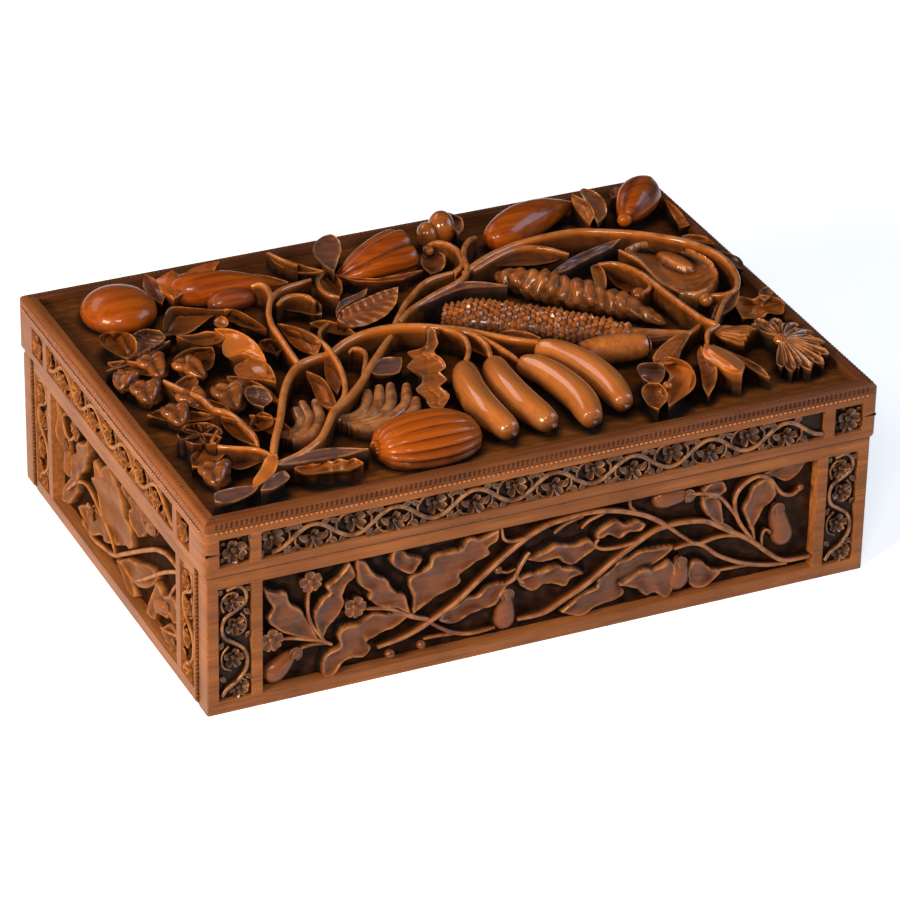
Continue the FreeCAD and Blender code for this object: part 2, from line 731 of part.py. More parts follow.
def lid_carving():
    """Fruit, vines, leaves, flowers and buds, each cut clear of the ones before it."""
    made = {}
    made["carved_finger_fruit"] = [tube(points, FINGER_RADII) for points in FINGERS]
    made["carved_finger_fruit"].append(tube([(46, -39), (54, -40), (64, -41.5), (74, -43)], [5.0, 6.0, 6.2, 4.2]))
    made["carved_melon"] = [dome(-44, -75, (24, 17, 7.5), 0, 2.0)]
    made["carved_maize_cob"] = [tube([(13, 18), (22, 13), (38, 2), (56, -10), (72, -22), (88, -32), (98, -38)],
                                     [5.5, 8.0, 8.5, 8.0, 6.2, 3.2, 1.5])]
    made["carved_ridged_gourd"] = [tube([(47, 40), (52, 31), (62, 18), (74, 5), (85, -7), (93, -22)],
                                        [3.5, 5.2, 5.8, 5.6, 5.0, 2.5])]
    made["carved_round_fruit"] = [dome(-119, 75, (16.5, 16.5, 8), 0, 2.0)]
    made["carved_left_aubergine"] = [tube([(-98, 82), (-92, 81), (-80, 78), (-66, 75), (-54, 73), (-46, 71)],
                                          [4.0, 8.0, 8.6, 7.4, 5.0, 2.5])]
    made["carved_right_aubergine"] = [tube([(56, 70), (62, 73), (74, 78), (86, 83), (96, 87), (102, 89)],
                                           [5.0, 8.2, 8.6, 7.0, 4.0, 2.0])]
    made["carved_corner_fruit"] = [tube([(118, 66), (123, 70), (130, 77), (137, 84), (141, 88)],
                                        [2.5, 6.0, 8.4, 8.0, 5.0])]
    made["carved_star_fruit"] = [dome(-4, 70, (19, 13, 7), 18, 2.0)]
    made["carved_pod"] = [dome(117, 12, (11, 20, 5), 8, 1.5)]
    made["carved_vines"] = [length for points in VINES for length in vine(points)]
    made["carved_trumpet_flower"] = [dome(64, -72, (12, 16, 6.5), -25, 2.0)]
    made["carved_bell_flower"] = [dome(91, -76, (10, 15, 6), 10, 2.0)]
    made["carved_daisy"] = [tube([(107, -46), (112, -54), (117, -62), (122, -70)], [2.5, 4.5, 6.0, 6.5]),
                            dome(126, -76, (14, 14, 5.5), 0, 2.0)]
    made["carved_buds"] = [dome(x, y, (r, r, r), 0, 1.5) for x, y, r in BUDS]
    made["carved_leaves"] = [lid_leaf(*values) for values in LID_LEAVES]
    done = []
    finished = {}
    for name, forms in made.items():
        kept = []
        for form in forms:
            shape = seated(form)
            near = [d for d in done + kept if d.BoundBox.intersect(shape.BoundBox)]
            if near:
                shape = shape.cut(near)
            kept.extend(real_solids(shape, 20.0))
        done.extend(kept)
        finished[name] = kept
    return finished


def build_case():
    """Case boards and the carved pieces let into them."""
    envelope = case_envelope()
    store("base_board", [base_board()])
    scrolls = []
    ropes = []
    for name, quarter, is_long in SIDES:
        shape = turned(case_wall(is_long), quarter).common(envelope)
        if name == "back":
            shape = shape.cut(stop_bevel(False) + hinge_room(False))
        if name in ("left", "right"):
            shape = shape.cut(stop_bevel(False))
        store(name + "_wall", [shape])
        store(name + "_leaf_panel", [turned(leaf_panel(is_long), quarter)])
        for sign in (-1, 1):
            scrolls.append(turned(upright_scroll(is_long, sign), quarter))
            if not is_long:
                ropes.append(turned(rope_strip(sign), quarter))
    store("upright_scroll_panels", scrolls)
    store("rope_strips", ropes)


def build_lid():
    """Lid boards, borders, bands and rosettes."""
    envelope = lid_envelope()
    store("lid_top_board", [lid_top_board()])
    bands = {True: [], False: []}
    rosettes = []
    for name, quarter, is_long in SIDES:
        rail = moved(turned(lid_rail_side(is_long), quarter), 0, lid_shift, 0).common(envelope)
        if name == "back":
            rail = rail.cut(stop_bevel(True) + hinge_room(True))
        if name in ("left", "right"):
            rail = rail.cut(stop_bevel(True))
        store("lid_" + name + "_rail", [rail])
        edge = moved(turned(border(is_long), quarter), 0, lid_shift, 0).common(envelope)
        store("lid_" + name + "_border", [edge])
        bands[is_long].append(moved(turned(scroll_band(is_long), quarter), 0, lid_shift, 0))
        for sign in (-1, 1):
            rosettes.append(moved(turned(rosette(is_long, sign), quarter), 0, lid_shift, 0))
    store("lid_long_scroll_bands", bands[True])
    store("lid_short_scroll_bands", bands[False])
    store("lid_rosettes", rosettes)


def build_hinges():
    """Two butt hinges with their pins and screws."""
    case_screws = []
    lid_screws = []
    for side, middle in zip(("left", "right"), hinge_middles()):
        store(side + "_hinge_lower_leaf", [hinge_leaf(middle, False)])
        store(side + "_hinge_upper_leaf", [hinge_leaf(middle, True)])
        store(side + "_hinge_pin", [hinge_pin(middle)])
        case_screws += screws(middle, False)
        lid_screws += screws(middle, True)
    store("hinge_case_screws", case_screws)
    store("hinge_lid_screws", lid_screws)


build_case()
build_lid()
build_hinges()
for node_name, node_solids in lid_carving().items():
    store(node_name, node_solids)
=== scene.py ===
import math
import bpy
import bmesh
import numpy as np
from mathutils import Matrix, Vector


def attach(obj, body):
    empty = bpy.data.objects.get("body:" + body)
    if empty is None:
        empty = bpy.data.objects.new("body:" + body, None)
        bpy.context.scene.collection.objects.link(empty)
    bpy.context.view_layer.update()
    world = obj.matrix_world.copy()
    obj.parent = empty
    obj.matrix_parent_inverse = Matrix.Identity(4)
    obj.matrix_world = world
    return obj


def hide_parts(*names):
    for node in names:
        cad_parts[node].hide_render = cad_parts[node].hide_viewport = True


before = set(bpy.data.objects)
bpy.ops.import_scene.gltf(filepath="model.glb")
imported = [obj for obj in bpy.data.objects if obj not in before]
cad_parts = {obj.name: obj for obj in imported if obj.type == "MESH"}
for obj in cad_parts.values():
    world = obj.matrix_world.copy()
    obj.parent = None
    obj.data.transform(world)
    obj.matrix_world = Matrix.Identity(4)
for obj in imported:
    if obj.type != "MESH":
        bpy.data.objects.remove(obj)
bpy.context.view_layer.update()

# Sizes of the box, in millimetres
MM = 0.001
CASE_LENGTH = 300.0
CASE_DEPTH = 212.0
LID_LENGTH = 303.0
LID_DEPTH = 213.5
LID_SHIFT = -0.75
LID_GROUND = 86.0
PANEL_LOW = 5.5
PANEL_HIGH = 58.5
PANEL_GROUND = 5.8
SCROLL_GROUND = 2.5
BAND_LOW = 69.0
BAND_HIGH = 82.0
BAND_MIDDLE = (BAND_LOW + BAND_HIGH) / 2

# Viewpoint of the photograph, and the height at which the lid's carving was drawn from it
SIGHT_EYE = (-724.5, -1554.7, 1005.2)
SIGHT_RIGHT = (0.9094, -0.4156, 0.0177)
SIGHT_BACK = (-0.3698, -0.7881, 0.4922)
SIGHT_LEVEL = 98.0
FOCAL_PIXELS = 4595.0
PHOTO_PIXELS = 900.0

# Colours of the wood: light and dark streak of each finish
FRAME = ((0.44, 0.152, 0.044, 1), (0.20, 0.062, 0.018, 1))
# Border colours differ by side, standing in for light: lighter on the left as painted light, darker on the
# front, back and right as painted shade.
LEFT_BORDER_PAINTED_LIGHT_TONES = ((0.37, 0.110, 0.026, 1), (0.22, 0.064, 0.016, 1))
FRONT_BORDER_PAINTED_SHADE_TONES = ((0.25, 0.077, 0.024, 1), (0.13, 0.039, 0.012, 1))
BACK_BORDER_PAINTED_SHADE_TONES = ((0.13, 0.040, 0.013, 1), (0.06, 0.018, 0.006, 1))
RIGHT_BORDER_PAINTED_SHADE_TONES = ((0.17, 0.052, 0.016, 1), (0.08, 0.024, 0.008, 1))
CARVED = ((0.50, 0.134, 0.018, 1), (0.18, 0.046, 0.008, 1))
PANEL = ((0.25, 0.070, 0.021, 1), (0.11, 0.031, 0.010, 1))
# The short sides' carving has its own lighter colours, where the same carving on the long sides takes the
# panel or band colours: painted light on the lit sides.
SIDE_PAINTED_LIGHT_TONES = ((0.31, 0.100, 0.023, 1), (0.15, 0.045, 0.010, 1))
BAND = ((0.108, 0.037, 0.017, 1), (0.050, 0.017, 0.009, 1))
FRUIT = ((0.45, 0.094, 0.005, 1), (0.17, 0.026, 0.002, 1))
# The finger fruit's colours are a lighter copy of the fruit colours: partly the fingers' own tone, partly
# painted light where they face the lamps.
FINGER_PAINTED_LIGHT_TONES = ((0.57, 0.178, 0.034, 1), (0.29, 0.068, 0.009, 1))
TOOLED = ((0.24, 0.074, 0.013, 1), (0.09, 0.027, 0.005, 1))
GROUND = ((0.19, 0.056, 0.012, 1), (0.085, 0.025, 0.006, 1))
BRASS = ((0.62, 0.43, 0.16, 1), (0.20, 0.12, 0.05, 1))
# A cool blue-grey mixed into carving of low tone: a painted cool sheen standing in for reflected cool light.
COOL_PAINTED_SHEEN = (0.062, 0.044, 0.052, 1)
WORN = (0.70, 0.290, 0.095, 1)
# The darkest colours serve for pores and for the painted shade in hollows and under edges.
DEEP = (0.005, 0.0022, 0.0012, 1)
SIDE_PAINTED_LIGHT_DEEP = (0.022, 0.007, 0.0025, 1)


# Shader helpers


def feed(tree, socket, value):
    """Link a socket to another one, or give it a plain value."""
    if isinstance(value, bpy.types.NodeSocket):
        tree.links.new(value, socket)
    else:
        socket.default_value = value


def new_node(tree, kind, **settings):
    """Shader node with its named sockets fed; an underscore in a name stands for a space."""
    node = tree.nodes.new(kind)
    for label, value in settings.items():
        feed(tree, node.inputs[label.replace("_", " ")], value)
    return node


def new_group(name, inputs, outputs):
    """Empty shader group with named sockets."""
    tree = bpy.data.node_groups.new(name, "ShaderNodeTree")
    for label, kind, value in inputs:
        socket = tree.interface.new_socket(label, in_out="INPUT", socket_type=kind)
        if value is not None:
            socket.default_value = value
    for label in outputs:
        tree.interface.new_socket(label, in_out="OUTPUT", socket_type="NodeSocketFloat")
    return tree, tree.nodes.new("NodeGroupInput").outputs, tree.nodes.new("NodeGroupOutput").inputs


def noise(tree, vector, scale, detail=3.0, rough=0.55):
    """Noise texture on a vector."""
    node = new_node(tree, "ShaderNodeTexNoise", Scale=scale, Detail=detail, Roughness=rough, Vector=vector)
    return node.outputs["Fac"]


def math_node(tree, kind, a, b, clamp=False):
    """Math node on sockets or plain values."""
    node = tree.nodes.new("ShaderNodeMath")
    node.operation = kind
    node.use_clamp = clamp
    feed(tree, node.inputs[0], a)
    feed(tree, node.inputs[1], b)
    return node.outputs[0]


def ramp(tree, value, low, high):
    """Value from 0 at low to 1 at high."""
    node = new_node(tree, "ShaderNodeMapRange", From_Min=low, From_Max=high, Value=value)
    node.interpolation_type = "SMOOTHSTEP"
    return node.outputs["Result"]


def mix_colour(tree, factor, a, b):
    """Colour mix of sockets or plain colours."""
    node = tree.nodes.new("ShaderNodeMix")
    node.data_type = "RGBA"
    for number, value in ((0, factor), (6, a), (7, b)):
        feed(tree, node.inputs[number], value)
    return node.outputs[2]


def mapped(tree, vector, scale=(1, 1, 1), turn=(0, 0, 0)):
    """Vector stretched along the axes and turned."""
    node = new_node(tree, "ShaderNodeMapping", Scale=scale, Rotation=turn, Vector=vector)
    return node.outputs["Vector"]


def attribute(tree, name):
    """Value stored on a mesh's points."""
    node = tree.nodes.new("ShaderNodeAttribute")
    node.attribute_name = name
    return node.outputs["Fac"]


def new_material(name):
    """Material with its tree, its shader and the place on the object."""
    material = bpy.data.materials.new(name)
    material.use_nodes = True
    tree = material.node_tree
    place = tree.nodes.new("ShaderNodeTexCoord").outputs["Object"]
    return material, tree, tree.nodes["Principled BSDF"], place


def grain_group():
    """Streaks, pores and broad clouding of hardwood along X of its vector."""
    tree, inner, outer = new_group(
        "hardwood_grain", [("Vector", "NodeSocketVector", None), ("Pores", "NodeSocketFloat", 0.5)],
        ("Streak", "Pore", "Cloud", "Height"))
    vector = inner["Vector"]
    streak = noise(tree, mapped(tree, vector, (14.0, 420.0, 420.0)), 1.0, 4.0, 0.6)
    fine = noise(tree, mapped(tree, vector, (60.0, 2400.0, 2400.0)), 1.0, 2.0, 0.5)
    cloud = noise(tree, vector, 26.0)
    pore = math_node(tree, "MULTIPLY", ramp(tree, fine, 0.60, 0.74), inner["Pores"])
    height = math_node(tree, "SUBTRACT", math_node(tree, "MULTIPLY", streak, 0.4), pore)
    feed(tree, outer["Streak"], ramp(tree, streak, 0.25, 0.75))
    feed(tree, outer["Pore"], pore)
    feed(tree, outer["Cloud"], ramp(tree, cloud, 0.3, 0.7))
    feed(tree, outer["Height"], height)
    return tree


def recess_group():
    """Painted shade in the hollows and low places, and polish on the high places, from the carved depth."""
    tree, inner, outer = new_group(
        "painted_shade_and_wear", [("Depth", "NodeSocketFloat", 1.0), ("Wear", "NodeSocketFloat", 0.0),
                            ("Vector", "NodeSocketVector", None), ("Shade Reach", "NodeSocketFloat", 0.75)],
        ("Painted Shade", "Polish"))
    blotch = noise(tree, inner["Vector"], 160.0, 3.0, 0.6)
    uneven = math_node(tree, "MULTIPLY", math_node(tree, "SUBTRACT", blotch, 0.5), 0.35)
    rough_depth = math_node(tree, "ADD", inner["Depth"], uneven)
    share = math_node(tree, "DIVIDE", rough_depth, inner["Shade Reach"])
    # Less depth gives more painted shade, made uneven by the blotches.
    feed(tree, outer["Painted Shade"], math_node(tree, "SUBTRACT", 1.0, share, clamp=True))
    patches = ramp(tree, blotch, 0.3, 0.65)
    feed(tree, outer["Polish"], math_node(tree, "MULTIPLY", inner["Wear"], patches, clamp=True))
    return tree


GRAIN = grain_group()
RECESS = recess_group()
GRAIN_TURN = {"X": (0, 0, 0), "Y": (0, 0, math.pi / 2)}
PORE_DARKNESS = 0.7
COOL_SHEEN_SHARE = 0.8
WORN_SHARE = 0.8
SHADE_ROUGHNESS = 0.4
TOOL_MARKS = 520.0
BUMP_HEIGHT = 0.0004


def wood(name, tones, gloss, along, pores, deep=DEEP, coat=0.0, reach=0.75, carved=True, bump=0.25,
         tooling=0.0, polish=0.12, mottle=0.45, shine=0.28):
    """Hardwood: streaked colour, painted shade in the hollows, a painted cool sheen where the tone is low,
    and worn edges.
    """
    light, dark = tones
    material, tree, shader, place = new_material(name)

    def times(a, b):
        return math_node(tree, "MULTIPLY", a, b)

    grain = tree.nodes.new("ShaderNodeGroup")
    grain.node_tree = GRAIN
    feed(tree, grain.inputs["Pores"], pores)
    feed(tree, grain.inputs["Vector"], mapped(tree, place, turn=GRAIN_TURN[along]))
    streak, pore, cloud, height = grain.outputs
    colour = mix_colour(tree, streak, dark, light)
    colour = mix_colour(tree, times(cloud, mottle), colour, dark)
    colour = mix_colour(tree, times(pore, PORE_DARKNESS), colour, deep)
    roughness = math_node(tree, "ADD", times(streak, 0.10), gloss)
    feed(tree, shader.inputs["Coat Weight"], coat)
    if carved:
        tone = attribute(tree, "tone")
        colour = mix_colour(tree, ramp(tree, tone, 0.55, 1.0), colour, light)
        # Low tone mixes in the cool colour: a painted cool sheen.
        colour = mix_colour(tree, times(ramp(tree, tone, 0.45, 0.0), COOL_SHEEN_SHARE), colour, COOL_PAINTED_SHEEN)
        recess = tree.nodes.new("ShaderNodeGroup")
        recess.node_tree = RECESS
        for label, value in (("Shade Reach", reach), ("Vector", place), ("Depth", attribute(tree, "depth")),
                             ("Wear", attribute(tree, "wear"))):
            feed(tree, recess.inputs[label], value)
        painted_shade, worn = recess.outputs
        colour = mix_colour(tree, times(worn, WORN_SHARE), colour, WORN)
        # Painted shade: hollows, undersides and low places darken towards the deep colour.
        colour = mix_colour(tree, painted_shade, colour, deep)
        roughness = math_node(tree, "ADD", roughness, times(painted_shade, SHADE_ROUGHNESS))
        if coat:
            feed(tree, shader.inputs["Coat Weight"], math_node(tree, "SUBTRACT", coat, times(painted_shade, coat)))
    feed(tree, shader.inputs["Base Color"], colour)
    feed(tree, shader.inputs["Roughness"], roughness)
    feed(tree, shader.inputs["Coat Roughness"], polish)
    feed(tree, shader.inputs["Specular IOR Level"], shine)
    if tooling:
        facets = new_node(tree, "ShaderNodeTexVoronoi", Scale=TOOL_MARKS, Vector=place)
        height = math_node(tree, "ADD", height, times(facets.outputs["Distance"], tooling))
    relief = new_node(tree, "ShaderNodeBump", Strength=bump, Distance=BUMP_HEIGHT, Height=height)
    feed(tree, shader.inputs["Normal"], relief.outputs["Normal"])
    return material


def aged_brass():
    """Dull brass with dark tarnish."""
    material, tree, shader, place = new_material("aged_brass")
    tarnish = ramp(tree, noise(tree, place, 380.0, 4.0, 0.6), 0.4, 0.7)
    feed(tree, shader.inputs["Base Color"], mix_colour(tree, tarnish, *BRASS))
    rough = math_node(tree, "ADD", math_node(tree, "MULTIPLY", tarnish, 0.25), 0.28)
    feed(tree, shader.inputs["Roughness"], rough)
    feed(tree, shader.inputs["Metallic"], 1.0)
    return material


frame_wood_x = wood("frame_wood_along", FRAME, 0.38, "X", 0.9, mottle=0.75)
frame_wood_y = wood("frame_wood_across", FRAME, 0.38, "Y", 0.9, mottle=0.75)
# Per-side border finishes: painted light on the left border, painted shade on the front border.
left_border_painted_light = wood("border_across_painted_light", LEFT_BORDER_PAINTED_LIGHT_TONES, 0.40, "Y", 0.6)
front_border_painted_shade = wood("border_along_painted_shade", FRONT_BORDER_PAINTED_SHADE_TONES, 0.40, "X", 0.9, mottle=0.7)
carved_wood = wood("carved_wood", CARVED, 0.26, "X", 0.3, coat=0.9, tooling=0.3, polish=0.08, shine=0.15)
panel_wood = wood("panel_wood", PANEL, 0.30, "X", 0.3, coat=0.5, reach=0.88, tooling=0.25, polish=0.2,
                  shine=0.1)
# Lighter finish for the short sides' carving: painted light.
side_painted_light_wood = wood("side_painted_light_wood", SIDE_PAINTED_LIGHT_TONES, 0.36, "Y", 0.4, SIDE_PAINTED_LIGHT_DEEP, coat=0.1, reach=0.9, tooling=0.6,
                        shine=0.06)
band_wood = wood("band_wood", BAND, 0.24, "X", 0.3, coat=0.6, reach=1.0, tooling=0.25, shine=0.1)
fruit_wood = wood("polished_fruit_wood", FRUIT, 0.30, "X", 0.25, coat=0.35, reach=0.6, bump=0.10, polish=0.07,
                  shine=0.15)
# Lighter copy of the fruit wood for the fingers: partly their own tone, partly painted light.
finger_painted_light_wood = wood("finger_fruit_wood_painted_light", FINGER_PAINTED_LIGHT_TONES, 0.26, "Y", 0.25, coat=0.95, reach=0.6, bump=0.10, polish=0.06)
tooled_ground = wood("tooled_ground_wood", TOOLED, 0.36, "X", 0.5, coat=0.2, reach=0.8, tooling=1.0,
                     mottle=0.7, shine=0.12)
ground_wood = wood("ground_wood", GROUND, 0.42, "X", 0.4, carved=False, tooling=1.0)
# Darker border finishes for the back and right: painted shade.
back_border_painted_shade = wood("border_along_painted_dark_shade", BACK_BORDER_PAINTED_SHADE_TONES, 0.40, "X", 0.9, mottle=0.7)
right_border_painted_shade = wood("border_across_painted_dark_shade", RIGHT_BORDER_PAINTED_SHADE_TONES, 0.40, "Y", 0.9, mottle=0.7)
inside_wood = wood("inside_wood", FRAME, 0.45, "X", 0.7, carved=False)
brass = aged_brass()


# Mesh helpers

PIECES = []
LID_FULL = 10.0
SCROLL_FULL = 2.3
STEM_FOOT = -0.4
STEM_START = 0.12
STEM_END = 0.15
STEM_WEAR = [0, 0, 0, 0.05, 0.3, 0.6, 0.7, 0.6, 0.3, 0.05, 0, 0, 0]
STEM_SHADE = [0.0, 0.25, 0.7, 0.95, 1.0, 1.0, 1.0, 1.0, 1.0, 0.95, 0.7, 0.25, 0.0]
LEAF_FORWARD = 0.35
LEAF_FOOT = -0.3


def as_seen(u, v, w):
    """Move a point so that it lies where it was drawn when looked at from the photograph's viewpoint."""
    rise = (LID_GROUND + w - SIGHT_LEVEL) / (SIGHT_EYE[2] - SIGHT_LEVEL)
    return u - rise * (u - SIGHT_EYE[0]), v - rise * (v - SIGHT_EYE[1]) - LID_SHIFT


def on_lid(p):
    """Place on the lid's ground, in metres."""
    return (p[0] * MM, (p[1] + LID_SHIFT) * MM, (LID_GROUND + p[2]) * MM)


def in_flat(p):
    """Flat work in metres: along, up, out."""
    return (p[0] * MM, p[1] * MM, p[2] * MM)


def add_values(mesh, tone, depth, wear):
    """Carving values on a mesh: one for all points, or a list with one for each."""
    for label, value in (("tone", tone), ("depth", depth), ("wear", wear)):
        layer = mesh.attributes.get(label) or mesh.attributes.new(label, "FLOAT", "POINT")
        layer.data.foreach_set("value", value if isinstance(value, list) else [value] * len(mesh.vertices))


def turn_outward(mesh):
    """Turn the faces of a mesh outward."""
    work = bmesh.new()
    work.from_mesh(mesh)
    bmesh.ops.recalc_face_normals(work, faces=work.faces)
    work.to_mesh(mesh)
    work.free()


def finish_mesh(name, mesh, material, body, nodes=(), slot="carved_wood", sharp=50.0, recalc=True):
    """Object from a mesh, with outward faces, smooth shading and its place in the frame."""
    if recalc:
        turn_outward(mesh)
    mesh.shade_smooth()
    mesh.set_sharp_from_angle(angle=math.radians(sharp))
    mesh.materials.clear()
    mesh.materials.append(material)
    thing = bpy.data.objects.new(name, mesh)
    bpy.context.scene.collection.objects.link(thing)
    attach(thing, body)
    if nodes:
        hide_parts(*nodes)
    PIECES.append(thing)


class Carving:
    """Faces of one carved piece, gathered in millimetres on a flat ground and then placed."""

    def __init__(self, place, full=LID_FULL, seen=False):
        self.place = place
        self.full = full
        self.seen = seen
        self.points = []
        self.faces = []
        self.tone = []
        self.depth = []
        self.wear = []

    def spot(self, u, v, w):
        """Point of a top surface; seen work is drawn as it looks from the photograph's viewpoint."""
        return (*as_seen(u, v, w), w) if self.seen else (u, v, w)

    def point(self, p, tone=0.5, wear=0.0, share=1.0):
        """Add one point and give its number; its depth value follows its height, and share lowers it where it
        is hidden, so that painted shade falls there.
        """
        self.points.append(self.place(p))
        self.tone.append(tone)
        self.depth.append(share * max(0.0, min(1.0, p[2] / self.full)))
        self.wear.append(wear)
        return len(self.points) - 1

    def rows(self, rows, tone=0.5, wear=0.0, shade=None):
        """Skin a list of rings and close its ends; wear is one value, or a list of values for each ring."""
        numbers = []
        for i, row in enumerate(rows):
            line = []
            for j, p in enumerate(row):
                value = wear[i][j] if isinstance(wear, list) else wear
                line.append(self.point(p, tone, value, shade[j] if shade else 1.0))
            numbers.append(line)
        count = len(numbers[0])
        for a, b in zip(numbers, numbers[1:]):
            for j in range(count):
                k = (j + 1) % count
                self.faces.append((a[j], a[k], b[k], b[j]))
        self.faces.append(tuple(reversed(numbers[0])))
        self.faces.append(tuple(numbers[-1]))

    def mesh(self, name):
        """Mesh with its carving values."""
        mesh = bpy.data.meshes.new(name)
        mesh.from_pydata(self.points, [], self.faces)
        add_values(mesh, self.tone, self.depth, self.wear)
        return mesh

    def flat(self, name):
        """Mesh of flat work with outward faces."""
        mesh = self.mesh(name)
        turn_outward(mesh)
        return mesh

    def piece(self, name, node="", material=None, slot="carved_wood", sharp=50.0):
        """Object on the lid, which may stand for a CAD node."""
        nodes = (node,) if node else ()
        finish_mesh(name, self.mesh(name), material or carved_wood, "lid", nodes, slot, sharp)

    def fruit_piece(self, name, node, material=None):
        """Object on the lid in polished fruit wood."""
        self.piece(name, node, material or fruit_wood, "polished_fruit_wood")


def smooth_line(points, step):
    """Points along a smooth line through the given ones, about a step apart."""
    size = len(points[0])
    if len(points) == 2:
        points = [points[0], tuple((a + b) / 2 for a, b in zip(*points)), points[1]]
    before = tuple(2 * a - b for a, b in zip(points[0], points[1]))
    after = tuple(2 * a - b for a, b in zip(points[-1], points[-2]))
    full = [before] + list(points) + [after]
    line = []
    for i in range(1, len(full) - 2):
        p0, p1, p2, p3 = full[i - 1:i + 3]
        count = max(2, int(math.dist(p1[:2], p2[:2]) / step))
        for k in range(count):
            t = k / count
            spot = []
            for d in range(size):
                a = 2 * p1[d]
                b = (p2[d] - p0[d]) * t
                c = (2 * p0[d] - 5 * p1[d] + 4 * p2[d] - p3[d]) * t * t
                e = (3 * p1[d] - p0[d] - 3 * p2[d] + p3[d]) * t * t * t
                spot.append((a + b + c + e) / 2)
            line.append(tuple(spot))
    line.append(tuple(points[-1]))
    return line


def stem(carving, points, width, high, tone=0.6, start=1.0, end=1.0, step=1.6, web=0.6):
    """Round-topped stem standing on a thinner web; points may carry their own height as a third value."""
    line = smooth_line([carving.spot(p[0], p[1], p[2] if len(p) == 3 else high) for p in points], step)
    count = len(line)
    rows = []
    for i, (u, v, h) in enumerate(line):
        before = line[max(i - 1, 0)]
        after = line[min(i + 1, count - 1)]
        du = after[0] - before[0]
        dv = after[1] - before[1]
        size = math.hypot(du, dv) or 1.0
        nu = -dv / size
        nv = du / size
        t = i / (count - 1)
        ease = 1.0
        if t < STEM_START:
            ease = start + (1 - start) * t / STEM_START
        if t > 1 - STEM_END:
            ease = min(ease, end + (1 - end) * (1 - t) / STEM_END)
        a = width / 2 * ease
        profile = [(-web * a, STEM_FOOT), (-web * a, h - 2.6 * a), (-0.95 * a, h - 1.25 * a),
                   (-a, h - 0.85 * a), (-0.8 * a, h - 0.35 * a), (-0.42 * a, h - 0.08 * a), (0, h)]
        profile = profile + [(-s, z) for s, z in reversed(profile[:-1])]
        rows.append([(u + nu * s, v + nv * s, max(z, STEM_FOOT)) for s, z in profile])
    carving.rows(rows, tone, [STEM_WEAR] * count, STEM_SHADE)


def sheet(carving, rows, wear, tone, lip, under, low):
    """Thin carved sheet from its top rows: a cut edge, and undercut sides down to the ground that are painted
    dark as shade.
    """
    full_rows = []
    full_wear = []
    for row, line in zip(rows, wear):
        middle = row[len(row) // 2]

        def inward(edge, share, height):
            u, v = (m + (e - m) * share for m, e in zip(middle[:2], edge))
            return (u, v, max(min(height, edge[2] - 0.05), low))

        sides = []
        for edge in (row[0], row[-1]):
            sides.append([inward(edge, under, low), inward(edge, under, edge[2] * 0.55),
                          inward(edge, 0.9, edge[2] - lip)])
        full_rows.append(sides[0] + list(row) + sides[1][::-1])
        full_wear.append([0, 0, 0] + list(line) + [0, 0, 0])
    # The sides and the middle of the sheet get lower depth values: painted shade.
    half = (len(rows[0]) - 1) / 2
    hollow = [0.78 + 0.22 * abs(k / half - 1) ** 2.5 for k in range(len(rows[0]))]
    carving.rows(full_rows, tone, full_wear, [0.0, 0.08, 0.4] + hollow + [0.4, 0.08, 0.0])


def leaf_shape(t, belly, point):
    """Half-width of a leaf from base to tip; point 1 is round-ended and 2 is sharp."""
    a = belly * point
    b = (1.0 - belly) * point
    top = belly ** a * (1.0 - belly) ** b
    return max(t, 0.0) ** a * max(1 - t, 0.0) ** b / top


def edge_wear(s):
    """Wear across a leaf, strongest at its edges."""
    return 0.1 + 0.9 * abs(s) ** 8


def leaf(carving, base, tip, width, base_high, tip_high, along, across, tone=0.5, lip=0.4, bend=0.0, cup=0.0,
         belly=0.5, rib=0.35, under=0.45, point=1.6):
    """Carved leaf on a straight or bent line, with a midrib."""
    bu, bv = base
    du = tip[0] - bu
    dv = tip[1] - bv
    size = math.hypot(du, dv)
    au, av = du / size, dv / size
    nu, nv = -av, au
    rows = []
    side = [-1 + k / across for k in range(2 * across + 1)]
    for i in range(along + 1):
        t = 0.5 - 0.5 * math.cos(math.pi * (i / along))
        half = max(0.5 * width * leaf_shape(t, belly, point), 0.05)
        arch = bend * size * math.sin(math.pi * t)
        mid_u = bu + du * t + nu * arch
        mid_v = bv + dv * t + nv * arch
        row = []
        for s in side:
            out = half * s
            ahead = LEAF_FORWARD * half * abs(s) * (1 - t)
            w = base_high + (tip_high - base_high) * t + cup * half * s * s
            w += rib * math.exp(-(s * half / 0.55) ** 2)
            row.append(carving.spot(mid_u + nu * out + au * ahead, mid_v + nv * out + av * ahead,
                                    max(w, LEAF_FOOT + 0.2)))
        rows.append(row)
    sheet(carving, rows, [[edge_wear(s) for s in side]] * len(rows), tone, lip, under, LEAF_FOOT)


def spaced(points, count):
    """Points evenly spaced along a chain of straight lines."""
    lengths = [0.0]
    for a, b in zip(points, points[1:]):
        lengths.append(lengths[-1] + math.dist(a, b))
    spots = []
    leg = 0
    for i in range(count + 1):
        goal = lengths[-1] * i / count
        while leg < len(points) - 2 and lengths[leg + 1] < goal:
            leg += 1
        span = lengths[leg + 1] - lengths[leg] or 1.0
        share = min(1.0, max(0.0, (goal - lengths[leg]) / span))
        a, b = points[leg], points[leg + 1]
        spots.append((a[0] + (b[0] - a[0]) * share, a[1] + (b[1] - a[1]) * share))
    return spots


